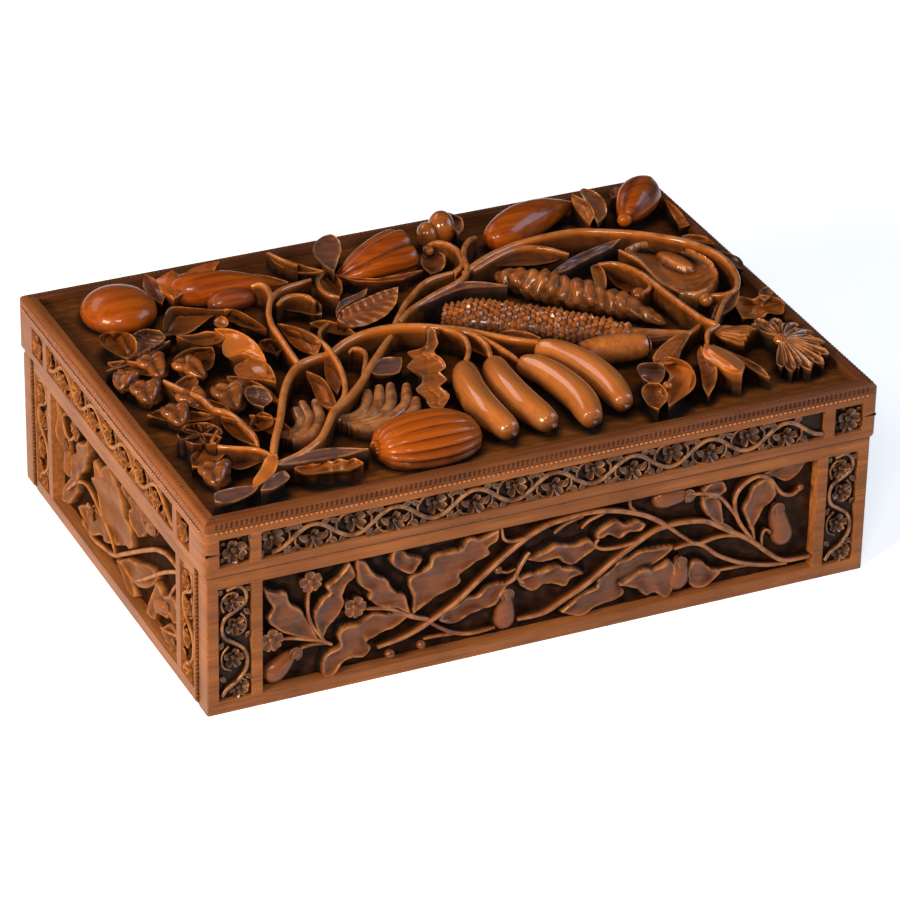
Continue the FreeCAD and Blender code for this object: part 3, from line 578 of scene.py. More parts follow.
def cut_leaf(carving, base, tip, one, other, base_high, tip_high, tone, cup=0.10):
    """Small leaf between two edges drawn point by point."""
    along, across, low = 34, 6, -0.2
    first = spaced([base] + one + [tip], along)
    second = spaced([base] + other + [tip], along)
    side = [-1 + k / across for k in range(2 * across + 1)]
    rows = []
    for i, (a, b) in enumerate(zip(first, second)):
        t = i / along
        wide = math.dist(a, b)
        row = []
        for s in side:
            share = (s + 1) / 2
            w = base_high + (tip_high - base_high) * t + cup * wide * (s * s - 0.4)
            w -= 0.3 * math.exp(-(s * wide / 1.6) ** 2) * min(1.0, 5 * t, 6 * (1 - t))
            w += 0.35 * math.sin(9.0 * t + 2.2 * s + 0.7 * base[0]) * min(1.0, wide / 6)
            row.append(carving.spot(a[0] + (b[0] - a[0]) * share, a[1] + (b[1] - a[1]) * share,
                                    max(w, low + 0.3)))
        rows.append(row)
    sheet(carving, rows, [[edge_wear(s) for s in side]] * len(rows), tone, 0.8, 0.5, low)


def fruit(carving, points, radii, around=36, step=0.9, flat=1.0, power=2.4, ridge=None, tone=0.6, wear=0.0):
    """Rounded fruit along a line with its own heights; the ends close to points and the grooves get painted
    shade.
    """
    line = smooth_line([tuple(p) + (r,) for p, r in zip(points, radii)], step)
    count = len(line)
    rows = []
    grooves = []
    for i, (u, v, w, r) in enumerate(line):
        t = i / (count - 1)
        before = Vector(line[max(i - 1, 0)][:3])
        after = Vector(line[min(i + 1, count - 1)][:3])
        along = (after - before).normalized()
        side = along.cross(Vector((0, 0, 1))).normalized()
        rise = side.cross(along).normalized()
        close = max(0.0, 1 - abs(2 * t - 1) ** power) ** (1 / power)
        centre = Vector((u, v, w))
        ring = []
        for k in range(around):
            angle = 2 * math.pi * k / around
            grooves.append(ridge(t, angle) if ridge else 1.0)
            size = max(r * close, 0.02) * grooves[-1]
            spot = centre + side * (math.cos(angle) * size) + rise * (math.sin(angle) * size * flat)
            ring.append(tuple(spot))
        rows.append(ring)
    first = len(carving.points)
    carving.rows(rows, tone, wear)
    # Grooves get lower depth values: painted shade in them.
    low, high = min(grooves), max(grooves)
    if high - low > 0.04:
        for number, value in enumerate(grooves):
            carving.depth[first + number] *= 0.15 + 0.85 * ((value - low) / (high - low)) ** 0.6


def ball(carving, centre, size, yaw=0.0, tone=0.6, around=28, rings=16, ridge=None):
    """Rounded body by half-sizes along, across and up."""
    turn = math.radians(yaw)
    rows = []
    for i in range(rings + 1):
        up = -math.pi / 2 + math.pi * i / rings
        ring = []
        for k in range(around):
            angle = 2 * math.pi * k / around
            grow = ridge(angle) if ridge else 1.0
            x = math.cos(angle) * math.cos(up) * size[0] * grow
            y = math.sin(angle) * math.cos(up) * size[1] * grow
            u = centre[0] + x * math.cos(turn) - y * math.sin(turn)
            v = centre[1] + x * math.sin(turn) + y * math.cos(turn)
            ring.append((u, v, centre[2] + math.sin(up) * size[2] * grow))
        rows.append(ring)
    carving.rows(rows, tone)


# Carved ground

RELIEF_SKIRT = -0.4
ISLAND_LEVEL = 0.75


def softened(field, cells):
    """Field averaged over a square of cells on each side, twice, so that it is smooth."""
    width = 2 * cells + 1
    for _ in range(2):
        for axis in (0, 1):
            padded = np.concatenate([np.repeat(np.take(field, [0], axis), cells + 1, axis), field,
                                     np.repeat(np.take(field, [-1], axis), cells, axis)], axis)
            total = np.cumsum(padded, axis)
            size = field.shape[axis]
            ahead = np.take(total, range(width, width + size), axis)
            field = (ahead - np.take(total, range(size), axis)) / width
    return field


def highest(field, cells):
    """Highest value within a square of cells about each place."""
    for axis in (0, 1):
        best = field
        for shift in range(1, cells + 1):
            for way in (-shift, shift):
                best = np.maximum(best, np.roll(field, way, axis))
        field = best
    return field


def leaf_surface(step, base, tip, one, other, base_high, tip_high, hollow=0.8, lean=0.0, rib=0.25, swell=0.4,
                 waves=2.0, rim=0.45, barbs=(0, 0.0), flutes=(0, 0.0), rim_width=0.7):
    """Points of a leaf between two edges, and how far in each lies.

    Lean lifts the second edge above the first, and hollow sinks the middle.
    """
    edges = [smooth_line([base] + list(edge) + [tip], 1.0) for edge in (one, other)]
    reach = max(sum(math.dist(a, b) for a, b in zip(line, line[1:])) for line in edges)
    rows = int(2.2 * reach / step) + 2
    first, second = (np.array(spaced(line, rows)) for line in edges)
    wide = np.hypot(second[:, 0] - first[:, 0], second[:, 1] - first[:, 1])[:, None]
    s = np.linspace(-1, 1, 2 * int(1.1 * wide.max() / step) + 5)[None, :]
    t = np.linspace(0, 1, rows + 1)[:, None]
    share = np.clip(wide / 7.0, 0, 1)
    inset = (1 - np.abs(s)) * wide / 2
    w = base_high + (tip_high - base_high) * t + 0.5 * lean * s * share
    w = w - hollow * share * (1 - s * s) - rib * np.exp(-(s * wide / 1.5) ** 2) * share
    w = w + swell * share * np.sin(2 * math.pi * waves * t + 1.3 * s + base[0]) * (0.35 + 0.65 * s * s)
    w = w + barbs[1] * share * np.abs(s) * np.sin(2 * math.pi * barbs[0] * t - 4.0 * np.abs(s))
    w = w + flutes[1] * share * np.cos(math.pi * flutes[0] * s)
    w = w + rim * np.exp(-(inset / rim_width) ** 2)
    spread = (s + 1) / 2
    u = first[:, :1] + (second[:, :1] - first[:, :1]) * spread
    v = first[:, 1:] + (second[:, 1:] - first[:, 1:]) * spread
    return u, v, w, inset


def shell(carving, *shape, tone=0.5, under=0.4, **values):
    """Thin undercut leaf on a narrow foot."""
    values["hollow"] = 1.5 * values.get("hollow", 0.8)
    u, v, w, inset = (field.tolist() for field in leaf_surface(1.9, *shape, **values))
    rows = [[carving.spot(*p) for p in zip(*line)] for line in zip(u, v, w)]
    wear = [[math.exp(-(d / 0.8) ** 2) for d in line] for line in inset]
    sheet(carving, rows, wear, tone, 1.0, under, LEAF_FOOT)


def petal(carving, base, tip, width, base_high, tip_high, belly=0.62, point=1.2, **values):
    """Thin petal of a plain rounded outline about a straight line."""
    du, dv = tip[0] - base[0], tip[1] - base[1]
    size = math.hypot(du, dv)
    edges = ([], [])
    for k in range(1, 8):
        t = k / 8
        half = 0.5 * width * leaf_shape(t, belly, point)
        for edge, side in zip(edges, (1, -1)):
            edge.append((base[0] + du * t - side * dv / size * half,
                         base[1] + dv * t + side * du / size * half))
    shell(carving, base, tip, *edges, base_high, tip_high, **values)


class Relief:
    """Grid of heights over a flat ground, to which leaves and lumps are added; sizes in millimetres."""

    def __init__(self, low, high, step, ground=0.2, seen=False):
        self.step = step
        self.low = low
        self.seen = seen
        self.count = tuple(int(round((high[k] - low[k]) / step)) + 1 for k in (0, 1))
        u = low[0] + step * np.arange(self.count[0])[:, None]
        v = low[1] + step * np.arange(self.count[1])[None, :]
        tooling = np.sin(0.9 * u + 1.7 * np.sin(0.31 * v)) + np.sin(1.1 * v + 0.6 * u)
        tooling = tooling + np.sin(0.37 * u - 0.5 * v)
        self.high = ground + 0.08 * tooling
        self.tone = np.full(self.count, 0.5)
        self.rim = np.zeros(self.count)

    def cells(self, u, v):
        """Grid numbers of points, and which of them lie on the grid."""
        i = np.rint((u - self.low[0]) / self.step).astype(int)
        j = np.rint((v - self.low[1]) / self.step).astype(int)
        return i, j, (i >= 0) & (i < self.count[0]) & (j >= 0) & (j < self.count[1])

    def lay(self, u, v, w, tone, rim):
        """Add points of a surface wherever they stand above what is there already."""
        u, v, w, rim = (np.ravel(np.broadcast_to(a, w.shape)) for a in (u, v, w, rim))
        if self.seen:
            u, v = as_seen(u, v, w)
        i, j, inside = self.cells(u, v)
        order = np.argsort(w[inside], kind="stable")
        number = (i * self.count[1] + j)[inside][order]
        top = np.full(self.high.size, -9.0)
        edge = np.zeros(self.high.size)
        top[number] = w[inside][order]
        edge[number] = rim[inside][order]
        top = top.reshape(self.count)
        won = top > self.high
        self.high[won] = top[won]
        self.tone[won] = tone
        self.rim[won] = edge.reshape(self.count)[won]

    def leaf(self, *shape, tone=0.5, ceiling=99.0, **values):
        """Leaf standing on the ground, with upright sides."""
        u, v, w, inset = leaf_surface(self.step, *shape, **values)
        self.lay(u, v, np.minimum(w, ceiling), tone, np.exp(-(inset / values.get("rim_width", 0.7)) ** 2))

    def dome(self, centre, size, foot, high, yaw, tone):
        """Rounded lump with half-sizes along and across."""
        r = np.linspace(0, 1, int(2.5 * max(size) / self.step) + 3)[:, None]
        angle = np.linspace(0, 2 * math.pi, int(16 * max(size) / self.step) + 8)[None, :]
        x = size[0] * r * np.cos(angle)
        y = size[1] * r * np.sin(angle)
        turn = math.radians(yaw)
        w = foot + (high - foot) * (1 - r * r) ** 0.55 + 0 * angle
        u = centre[0] + x * math.cos(turn) - y * math.sin(turn)
        v = centre[1] + x * math.sin(turn) + y * math.cos(turn)
        self.lay(u, v, w, tone, 0 * w)

    def carved(self, reach, full, foot):
        """Smoothed heights with tone, depth and wear: hollows and low places are marked for painted shade,
        ridges for wear.
        """
        high = softened(self.high, 1) * 0.6 + self.high * 0.4
        drop = softened(highest(high, int(round(reach / self.step))), 2) - high
        # Depth falls below nearby tops and towards the ground: painted shade.
        depth = np.clip(np.minimum(1.1 - drop / full, foot + 0.5 * high / full), 0, 1)
        crest = np.clip((high - softened(high, 2)) * 1.6, 0, 1)
        wear = np.clip(np.maximum(0.5 * softened(self.rim, 1), 0.55 * crest), 0, 1)
        return high, (softened(self.tone, 1), depth, wear)

    def faces(self, high, islands):
        """Points and faces of the grid; islands leave out the ground."""
        rows, cols = high.shape
        u = self.low[0] + self.step * np.arange(rows)[:, None] + 0 * high
        v = self.low[1] + self.step * np.arange(cols)[None, :] + 0 * high
        corners = ((slice(-1), slice(-1)), (slice(1, None), slice(-1)), (slice(1, None), slice(1, None)),
                   (slice(-1), slice(1, None)))
        number = np.arange(rows * cols).reshape(rows, cols)
        quads = np.stack([number[corner].ravel() for corner in corners], axis=1)
        if islands:
            tall = high > ISLAND_LEVEL
            quads = quads[np.any([tall[corner] for corner in corners], axis=0).ravel()]
        return np.stack([u.ravel(), v.ravel(), high.ravel()], axis=1), quads

    def piece(self, name, place, high, fields, material, body, nodes, slot="carved_wood", islands=False):
        """Object with the grid's edge carried down into the ground."""
        points, quads = self.faces(high, islands)
        used = np.unique(quads)
        renumber = np.full(len(points), -1)
        renumber[used] = np.arange(len(used))
        mesh = bpy.data.meshes.new(name)
        mesh.from_pydata([place(p) for p in points[used].tolist()], [], renumber[quads].tolist())
        add_values(mesh, *(field.ravel()[used].tolist() for field in fields))
        work = bmesh.new()
        work.from_mesh(mesh)
        ground = Vector(place((0, 0, 0)))
        inner = Vector(place((0, 0, RELIEF_SKIRT))) - ground
        axis = inner.normalized()
        skirt = bmesh.ops.extrude_edge_only(work, edges=[e for e in work.edges if e.is_boundary])
        for vert in (g for g in skirt["geom"] if isinstance(g, bmesh.types.BMVert)):
            vert.co += axis * ((ground + inner - vert.co).dot(axis))
        bmesh.ops.holes_fill(work, edges=[e for e in work.edges if e.is_boundary], sides=0)
        bmesh.ops.recalc_face_normals(work, faces=work.faces)
        work.to_mesh(mesh)
        work.free()
        finish_mesh(name, mesh, material, body, nodes, slot, sharp=78.0, recalc=False)


# Repeated carving


def grown(mesh, tree, values):
    """Plain mesh from a Geometry Nodes tree on a base mesh."""
    holder = bpy.data.objects.new("holder", mesh)
    bpy.context.scene.collection.objects.link(holder)
    change = holder.modifiers.new("nodes", "NODES")
    change.node_group = tree
    for key, value in values.items():
        change[key] = value
    bpy.context.view_layer.update()
    graph = bpy.context.evaluated_depsgraph_get()
    result = bpy.data.meshes.new_from_object(holder.evaluated_get(graph), depsgraph=graph)
    holder.modifiers.clear()
    bpy.data.objects.remove(holder)
    return result


def copies_tree(name, inputs):
    """Geometry Nodes tree that puts a unit on points, makes it real and gives it a finish."""
    tree = bpy.data.node_groups.new(name, "GeometryNodeTree")
    keys = {}
    for label, kind in [("Base", "Geometry")] + inputs + [("Finish", "Material")]:
        keys[label] = tree.interface.new_socket(label, in_out="INPUT",
                                                socket_type="NodeSocket" + kind).identifier
    tree.interface.new_socket("Result", in_out="OUTPUT", socket_type="NodeSocketGeometry")
    inner = tree.nodes.new("NodeGroupInput").outputs
    place = tree.nodes.new("GeometryNodeInstanceOnPoints")
    real = tree.nodes.new("GeometryNodeRealizeInstances")
    finish = tree.nodes.new("GeometryNodeSetMaterial")
    feed(tree, real.inputs[0], place.outputs[0])
    feed(tree, finish.inputs["Geometry"], real.outputs[0])
    feed(tree, finish.inputs["Material"], inner["Finish"])
    feed(tree, tree.nodes.new("NodeGroupOutput").inputs[0], finish.outputs[0])
    return tree, keys, inner, place.inputs


def repeat_tree():
    """Copies of one carved unit along a line, each turned a little more than the last."""
    tree, keys, inner, place = copies_tree(
        "repeat_unit", [("Count", "Int"), ("Start", "Vector"), ("Offset", "Vector"), ("Spin", "Float")])
    line = tree.nodes.new("GeometryNodeMeshLine")
    line.mode = "OFFSET"
    feed(tree, line.inputs["Count"], inner["Count"])
    feed(tree, line.inputs["Start Location"], inner["Start"])
    feed(tree, line.inputs["Offset"], inner["Offset"])
    number = tree.nodes.new("GeometryNodeInputIndex")
    about = tree.nodes.new("ShaderNodeCombineXYZ")
    feed(tree, about.inputs["Z"], math_node(tree, "MULTIPLY", number.outputs[0], inner["Spin"]))
    feed(tree, place["Points"], line.outputs["Mesh"])
    feed(tree, place["Instance"], inner["Base"])
    feed(tree, place["Rotation"], about.outputs[0])
    return tree, keys


def kernel_tree():
    """A kernel on every point of the cob, with its size varied."""
    tree, keys, inner, place = copies_tree("cob_kernels", [("Kernel Radius", "Float"), ("Seed", "Int")])
    kernel = tree.nodes.new("GeometryNodeMeshIcoSphere")
    feed(tree, kernel.inputs["Subdivisions"], 1)
    feed(tree, kernel.inputs["Radius"], inner["Kernel Radius"])
    spread = tree.nodes.new("FunctionNodeRandomValue")
    spread.data_type = "FLOAT_VECTOR"
    feed(tree, spread.inputs[0], (0.6, 0.6, 0.5))
    feed(tree, spread.inputs[1], (1.2, 1.2, 1.4))
    feed(tree, spread.inputs["Seed"], inner["Seed"])
    normal = tree.nodes.new("GeometryNodeInputNormal")
    align = tree.nodes.new("FunctionNodeAlignRotationToVector")
    feed(tree, align.inputs["Vector"], normal.outputs[0])
    feed(tree, place["Points"], inner["Base"])
    feed(tree, place["Instance"], kernel.outputs["Mesh"])
    feed(tree, place["Rotation"], align.outputs[0])
    feed(tree, place["Scale"], spread.outputs[0])
    return tree, keys


REPEAT, REPEAT_KEYS = repeat_tree()


def row_of(unit, count, start, offset, material, spin=0.0):
    """Repeat a flat unit along a line; sizes in millimetres."""
    values = {"Count": count, "Start": in_flat(start), "Offset": in_flat(offset), "Spin": spin,
              "Finish": material}
    return grown(unit, REPEAT, {REPEAT_KEYS[label]: value for label, value in values.items()})


def side_matrix(quarter, face, shift=0.0, along=0.0, up=0.0):
    """From flat work to one side of the box: quarter 0 is the front, then right, back and left."""
    flat = Matrix(((1, 0, 0, 0), (0, 0, -1, -face * MM), (0, 1, 0, 0), (0, 0, 0, 1)))
    turn = Matrix.Rotation(quarter * math.pi / 2, 4, "Z")
    return Matrix.Translation((0, shift * MM, 0)) @ turn @ flat @ Matrix.Translation((along * MM, up * MM, 0))


def joined(parts):
    """One mesh from placed copies; parts are pairs of mesh and matrix."""
    whole = bmesh.new()
    for mesh, matrix in parts:
        copy = mesh.copy()
        copy.transform(matrix)
        whole.from_mesh(copy)
        bpy.data.meshes.remove(copy)
    result = parts[0][0].copy()
    whole.to_mesh(result)
    whole.free()
    return result


def ring_spots(centre, count, turn, reach_u, reach_v):
    """Angles and points in a ring about a centre."""
    for k in range(count):
        angle = turn + 2 * math.pi * k / count
        yield angle, (centre[0] + reach_u * math.cos(angle), centre[1] + reach_v * math.sin(angle))


def bloom(work, centre, radius, high, turn):
    """Small open flower of five round petals about a heart."""
    petals, thick = 5, 0.4 * radius
    for angle, tip in ring_spots(centre, petals, turn, radius, radius):
        start = (centre[0] + 0.12 * radius * math.cos(angle), centre[1] + 0.12 * radius * math.sin(angle))
        leaf(work, start, tip, radius * 4.6 / petals, high - 0.25 * thick, high, 8, 3, tone=0.35, cup=0.16,
             belly=0.64, rib=-0.12 * thick, under=0.7, point=1.1)
    size = 0.36 * radius
    ball(work, (*centre, high - 0.15 * radius), (size, size, size), tone=0.45, around=10, rings=6)


def scroll_flower(work, heart, petals, turn, reach_u, reach_v, width):
    """Cupped flower of the scroll work."""
    for k, (_, tip) in enumerate(ring_spots(heart, petals, turn, reach_u, reach_v)):
        leaf(work, heart, tip, width, 0.5, 2.3, 6, 3, tone=0.35 + 0.3 * (k % 2), lip=0.5, cup=0.42,
             belly=0.66, rib=-0.3, point=1.0)
    ball(work, (*heart, 1.2), (1.2, 1.2, 0.8), tone=0.7, around=8, rings=5)


# Boards of the case and lid, with eased edges


def eased_board(node, material, body, width):
    """Copy of a CAD board with its faces merged and its edges eased."""
    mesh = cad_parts[node].data.copy()
    mesh.name = node + "_eased"
    work = bmesh.new()
    work.from_mesh(mesh)
    bmesh.ops.remove_doubles(work, verts=work.verts, dist=1e-6)
    bmesh.ops.dissolve_limit(work, angle_limit=math.radians(1.0), verts=work.verts, edges=work.edges)
    edges = [e for e in work.edges if len(e.link_faces) == 2 and e.calc_face_angle(0) > math.radians(35)]
    bmesh.ops.bevel(work, geom=edges, offset=width * MM, segments=2, profile=0.6, affect="EDGES",
                    clamp_overlap=True)
    bmesh.ops.triangulate(work, faces=[f for f in work.faces if len(f.verts) > 4])
    work.to_mesh(mesh)
    work.free()
    add_values(mesh, 0.5, 1.0, 0.0)
    finish_mesh(node + "_eased", mesh, material, body, (node,), "frame_wood", sharp=32.0, recalc=False)


for side_name, side_wood, rim_wood, ease in (
        ("front", frame_wood_x, front_border_painted_shade, 0.3), ("back", frame_wood_x, back_border_painted_shade, 0.3),
        ("left", frame_wood_y, left_border_painted_light, 0.6), ("right", frame_wood_y, right_border_painted_shade, 0.6)):
    eased_board(side_name + "_wall", side_wood, "case", ease)
    eased_board("lid_" + side_name + "_rail", side_wood, "lid", ease)
    eased_board("lid_" + side_name + "_border", rim_wood, "lid", 0.3)


def paint(node, material):
    """Give a CAD node its finish."""
    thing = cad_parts[node]
    thing.data.materials.clear()
    thing.data.materials.append(material)


paint("base_board", inside_wood)
paint("lid_top_board", ground_wood)
for node_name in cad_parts:
    if "hinge" in node_name:
        paint(node_name, brass)


# Carved panels of the case

LONG_LEAVES = [
    ((-100.5, 23), (-125.5, 54), [(-103, 29), (-106.5, 35.5), (-108.5, 39.5), (-113, 43), (-115, 49),
     (-120, 50)], [(-107, 25.5), (-112, 28.5), (-116.5, 31), (-121, 35), (-123, 39), (-120.5, 43),
     (-122.5, 47)], 3.4, 4.4),
    ((-99.3, 23), (-87.5, 57), [(-102, 31), (-102.5, 37), (-99, 42), (-95.5, 44), (-97.5, 48), (-93, 50.5),
     (-90, 53)], [(-95, 30), (-91, 34.5), (-89, 38), (-90.5, 41.5), (-89, 46), (-84.8, 49), (-86, 54)], 3.2,
     4.2),
    ((-60, 26), (-84.5, 58), [(-67, 30.5), (-73, 32.5), (-78.5, 37), (-78, 40.5), (-82.5, 45), (-84, 51)],
     [(-61.5, 31), (-63, 36), (-66, 37), (-69, 41), (-71, 45), (-74.5, 47), (-78, 51), (-80.5, 55.5)], 3.6,
     4.6),
    ((-59, 25), (-21, 57.5), [(-58.5, 33), (-60.5, 41), (-55, 45), (-51.5, 47), (-49.5, 50.5), (-42, 51.5),
     (-37, 51.5), (-34, 55.5), (-28, 54.5)], [(-55, 28.5), (-50, 31), (-45, 33.5), (-38, 36), (-39, 40),
     (-35, 42.5), (-31, 44.5), (-25, 47), (-26.5, 50), (-22, 52.5)], 3.2, 4.9),
    ((-68, 58), (-55, 51), [(-69, 53), (-66, 49), (-60.5, 45.5), (-57.5, 48)], [(-64, 57), (-61.5, 54),
     (-58.5, 52.5)], 4.4, 4.0),
    ((-60, 25.5), (-99, 5.8), [(-66, 27.5), (-70, 28), (-76, 30), (-82, 27), (-89, 26.5), (-91.5, 23),
     (-91, 18.5), (-96, 16), (-98.5, 12)], [(-67, 22), (-75, 19.5), (-80, 18), (-77.5, 14), (-81, 11),
     (-86, 11.5), (-91, 9.5), (-94, 5.8)], 3.6, 4.2),
    ((-16, 30), (-47.5, 20), [(-21, 31), (-26, 30.5), (-30, 27), (-36, 27), (-40, 25), (-44, 23)],
     [(-19, 26), (-23, 21.5), (-29, 20.5), (-34, 20), (-40, 17), (-45, 18.5)], 3.6, 4.0),
    ((-11, 31), (18.5, 27), [(-7, 32), (-2, 32), (6, 34), (9, 31.5), (14, 30.5)], [(-10, 27.5), (-5, 24),
     (-1, 25.5), (5, 25), (10, 23), (13, 26)], 3.4, 4.2),
    ((24.5, 38.5), (-8.5, 40), [(20, 42.5), (15, 41.5), (10, 42), (5, 43.5), (0, 41.5)], [(20, 36.5),
     (14, 32.5), (9, 34.5), (6, 37.5), (0, 37)], 3.6, 4.4),
    ((24, 42.5), (46.5, 44), [(24, 45), (28, 47.5), (33, 48.5), (37, 46), (43, 46.5)], [(26, 42.5),
     (29, 43.5), (34, 40.5), (38, 42.5), (43, 41.5)], 4.2, 4.0),
    ((61, 29.8), (8.5, 10.5), [(53, 31), (46, 31.5), (39, 29), (34, 29.5), (31, 25), (25, 23), (24.5, 19),
     (15, 15.5)], [(56, 26.5), (48, 21.5), (40, 19.5), (35.5, 17.5), (37.5, 13), (30, 10), (23, 8.5),
     (18, 6.6), (13, 8)], 3.2, 4.0),
    ((61, 21), (35.5, 17.5), [(58, 24), (55, 22.5), (51, 21), (46, 22.5), (40, 20)], [(61, 13), (59.5, 8),
     (56, 6.5), (52, 10), (47, 10), (44, 13.5), (40, 15.5)], 4.0, 4.8),
    ((83, 13.5), (67.5, 14.5), [(79, 14.5), (76.5, 16.5), (74, 19.5), (69.5, 20.8)], [(80.5, 10.5),
     (75, 7.5), (69.5, 8.5)], 4.0, 3.6),
    ((83.5, 35), (72.5, 51), [(80, 37), (76, 41), (73, 46)], [(82.5, 41), (80.5, 48), (77, 50.5)], 3.4,
     4.2),
    ((96.5, 29), (102, 53.5), [(95, 34), (92, 41.5), (95, 46), (97, 51)], [(99, 34), (101, 39.5),
     (105.5, 41.5), (107, 46.5), (104.5, 52)], 3.4, 4.2),
    ((84, 52), (72.5, 54), [(82, 56), (77, 57)], [(80, 50), (76, 51)], 3.4, 3.8),
    ((101.5, 55.5), (121.5, 58), [(107, 57.8), (113, 57), (118, 57.5)], [(106, 53), (112, 50), (118, 53)],
     2.8, 3.4),
]
LONG_STEMS = [
    ([(-75, 14), (-65, 15.5), (-57, 18), (-50, 21.5), (-40, 27), (-30, 35), (-21, 42), (-10, 49.5), (0, 54),
     (10, 55.5), (20, 56), (30, 54.5), (38, 52), (45, 49), (50, 46), (56, 41.5), (62, 36), (69, 30)], 2.3,
     5.2),
    ([(-12, 12.3), (0, 12.5), (10, 17), (20, 22), (30, 29), (40, 35), (50, 40.2), (60, 41.5), (70, 40.5),
     (76, 38.5), (83, 34), (90, 29.5), (97, 24.5), (104, 18), (110, 13), (115, 11.2), (125, 11)], 2.4, 5.3),
    ([(60, 29.4), (68, 30), (74, 27.5), (80, 22), (88, 17), (96, 13.5), (105, 11), (114, 10)], 2.0, 4.8),
    ([(70, 29), (74, 29.2), (80, 30.2), (86, 29.8), (92, 28)], 1.8, 4.6),
    ([(82, 13.6), (90, 13.2), (98, 12.8)], 1.5, 4.2),
    ([(98, 24), (93, 31), (90, 36), (88, 42), (88, 48), (91, 52.5), (96, 55.3), (100, 55.3), (104, 53),
     (108, 47), (111, 44), (115, 43), (119, 45.5)], 1.9, 4.8),
    ([(67, 54), (76, 52), (81, 49), (85, 44), (89, 38)], 1.8, 4.6),
    ([(83, 36), (88, 31.5)], 1.6, 4.4),
    ([(97, 31), (98, 25)], 1.6, 4.4),
    ([(102, 20), (101.8, 26), (103.5, 28.5), (105.5, 27)], 1.3, 4.2),
    ([(38.5, 58), (39, 54), (42, 51)], 1.4, 4.2),
    ([(4, 49.5), (10, 53), (17, 54.5)], 1.5, 4.4),
    ([(16.5, 49), (20, 51.8), (27, 54)], 1.4, 4.4),
    ([(-20, 57.5), (-18.8, 52), (-15, 50), (-9, 50.5)], 1.5, 4.6),
    ([(-7, 43), (-11, 37), (-13.5, 32), (-18, 30)], 1.9, 4.6),
    ([(-13, 34), (-11, 30.5), (-9, 29)], 1.6, 4.4),
    ([(-21, 37.5), (-17, 35.5), (-13, 36.5)], 1.2, 4.2),
    ([(-51, 19.5), (-45, 15), (-40, 12), (-32, 10), (-22, 10.5)], 1.8, 4.4),
    ([(-54, 12.5), (-47, 12.3), (-40, 11.5)], 1.5, 4.0),
    ([(24.5, 42), (23, 39.5), (26, 37), (33, 36), (42, 36.5), (48, 39)], 1.7, 4.6),
    ([(-95, 20), (-100.5, 23.2), (-106, 25), (-112, 27), (-117, 28)], 1.6, 4.6),
    ([(-98, 22), (-104, 32), (-105.5, 40), (-105, 48)], 1.6, 4.4),
    ([(-95, 20.3), (-103, 21.5), (-109, 21)], 1.5, 3.8),
    ([(-52, 21.5), (-59, 24.3), (-64, 27.5), (-70, 31), (-80, 33.5)], 1.7, 4.8),
    ([(-52, 21.8), (-57, 23.4), (-61, 26.2)], 2.0, 4.6),
]
LONG_FRUITS = [
    ([(-108.5, 21.5), (-112, 18.5), (-117, 14), (-121, 11.5), (-124, 9.5)], [1.4, 2.8, 4.8, 5.4, 4.6]),
    ([(-16.5, 28), (-16.6, 22), (-16.8, 16), (-17, 11), (-17, 8)], [1.6, 3.2, 4.6, 5.0, 4.0]),
    ([(63.6, 24.8), (63.4, 20), (63.2, 15), (63, 11), (63, 8)], [2.0, 4.0, 5.0, 5.0, 4.0]),
    ([(108.3, 40.5), (109, 35), (110.5, 29), (112, 23), (113, 18.5)], [2.2, 3.8, 4.6, 5.4, 4.4]),
    ([(69, 53.2), (64, 53.6), (58, 53.8), (53, 53.6), (49.5, 53.4)], [1.6, 3.4, 4.6, 4.6, 3.6]),
]
LONG_FLOWERS = [((-104.5, 52), 5.4), ((-121.5, 28.5), 5.6), ((-85, 35.5), 5.4)]
LONG_BUDS = [((119, 45.5), 1.5), ((-55, 10), 2.0), ((-69, 9), 2.2), ((-21, 37.8), 1.9), ((105.5, 27), 1.2)]
SHORT_LEAVES = [
    ((-48, 33), (-5, 17.5), [(-38, 32), (-30, 29), (-22, 26), (-12, 22)], [(-40, 24), (-30, 18), (-20, 15),
     (-12, 16)], 3.6, 4.4),
    ((-72, 26), (-35, 8.5), [(-64, 32), (-56, 29), (-47, 30), (-43, 24), (-40, 18)], [(-66, 21), (-60, 22),
     (-55, 17), (-48, 16), (-42, 9)], 3.6, 4.2),
    ((2, 21), (6, 57), [(-8, 26), (-19, 31), (-16, 37), (-11, 40), (-9, 46), (-3, 50), (1, 53)], [(12, 26),
     (19, 33), (28, 39), (22, 44), (25, 50), (15, 47.5), (13, 53)], 3.4, 4.6),
    ((-18, 40), (-36, 57.5), [(-26, 40), (-33, 46), (-30, 50), (-36, 53)], [(-14, 46), (-20, 50), (-18, 55),
     (-28, 57)], 3.2, 4.0),
    ((67, 8), (29.5, 58), [(56, 12), (47, 22), (43, 31), (36, 39), (34, 43), (30, 49)], [(62, 18), (57, 24),
     (52, 31), (53, 37), (47, 42), (43, 49), (37, 51)], 3.6, 4.8),
    ((5, 20), (45, 17), [(10, 25), (16, 28), (24, 25), (31, 25), (38, 21)], [(12, 17), (20, 16), (27, 12),
     (33, 11.5), (40, 14)], 3.6, 4.0),
    ((1, 15), (-22, 9), [(-6, 16), (-12, 14), (-17, 13)], [(-6, 11), (-12, 8.5), (-18, 7)], 3.6, 3.8),
    ((-6, 54), (-22, 57), [(-12, 58), (-18, 58)], [(-10, 50), (-16, 51)], 3.2, 3.6),
    ((58, 30), (70, 56), [(56, 38), (60, 44), (62, 50)], [(64, 34), (70, 40), (69, 48)], 3.2, 4.2),
    ((-68, 16), (-50, 8), [(-62, 17), (-55, 14)], [(-64, 10), (-56, 7)], 3.2, 3.6),
]
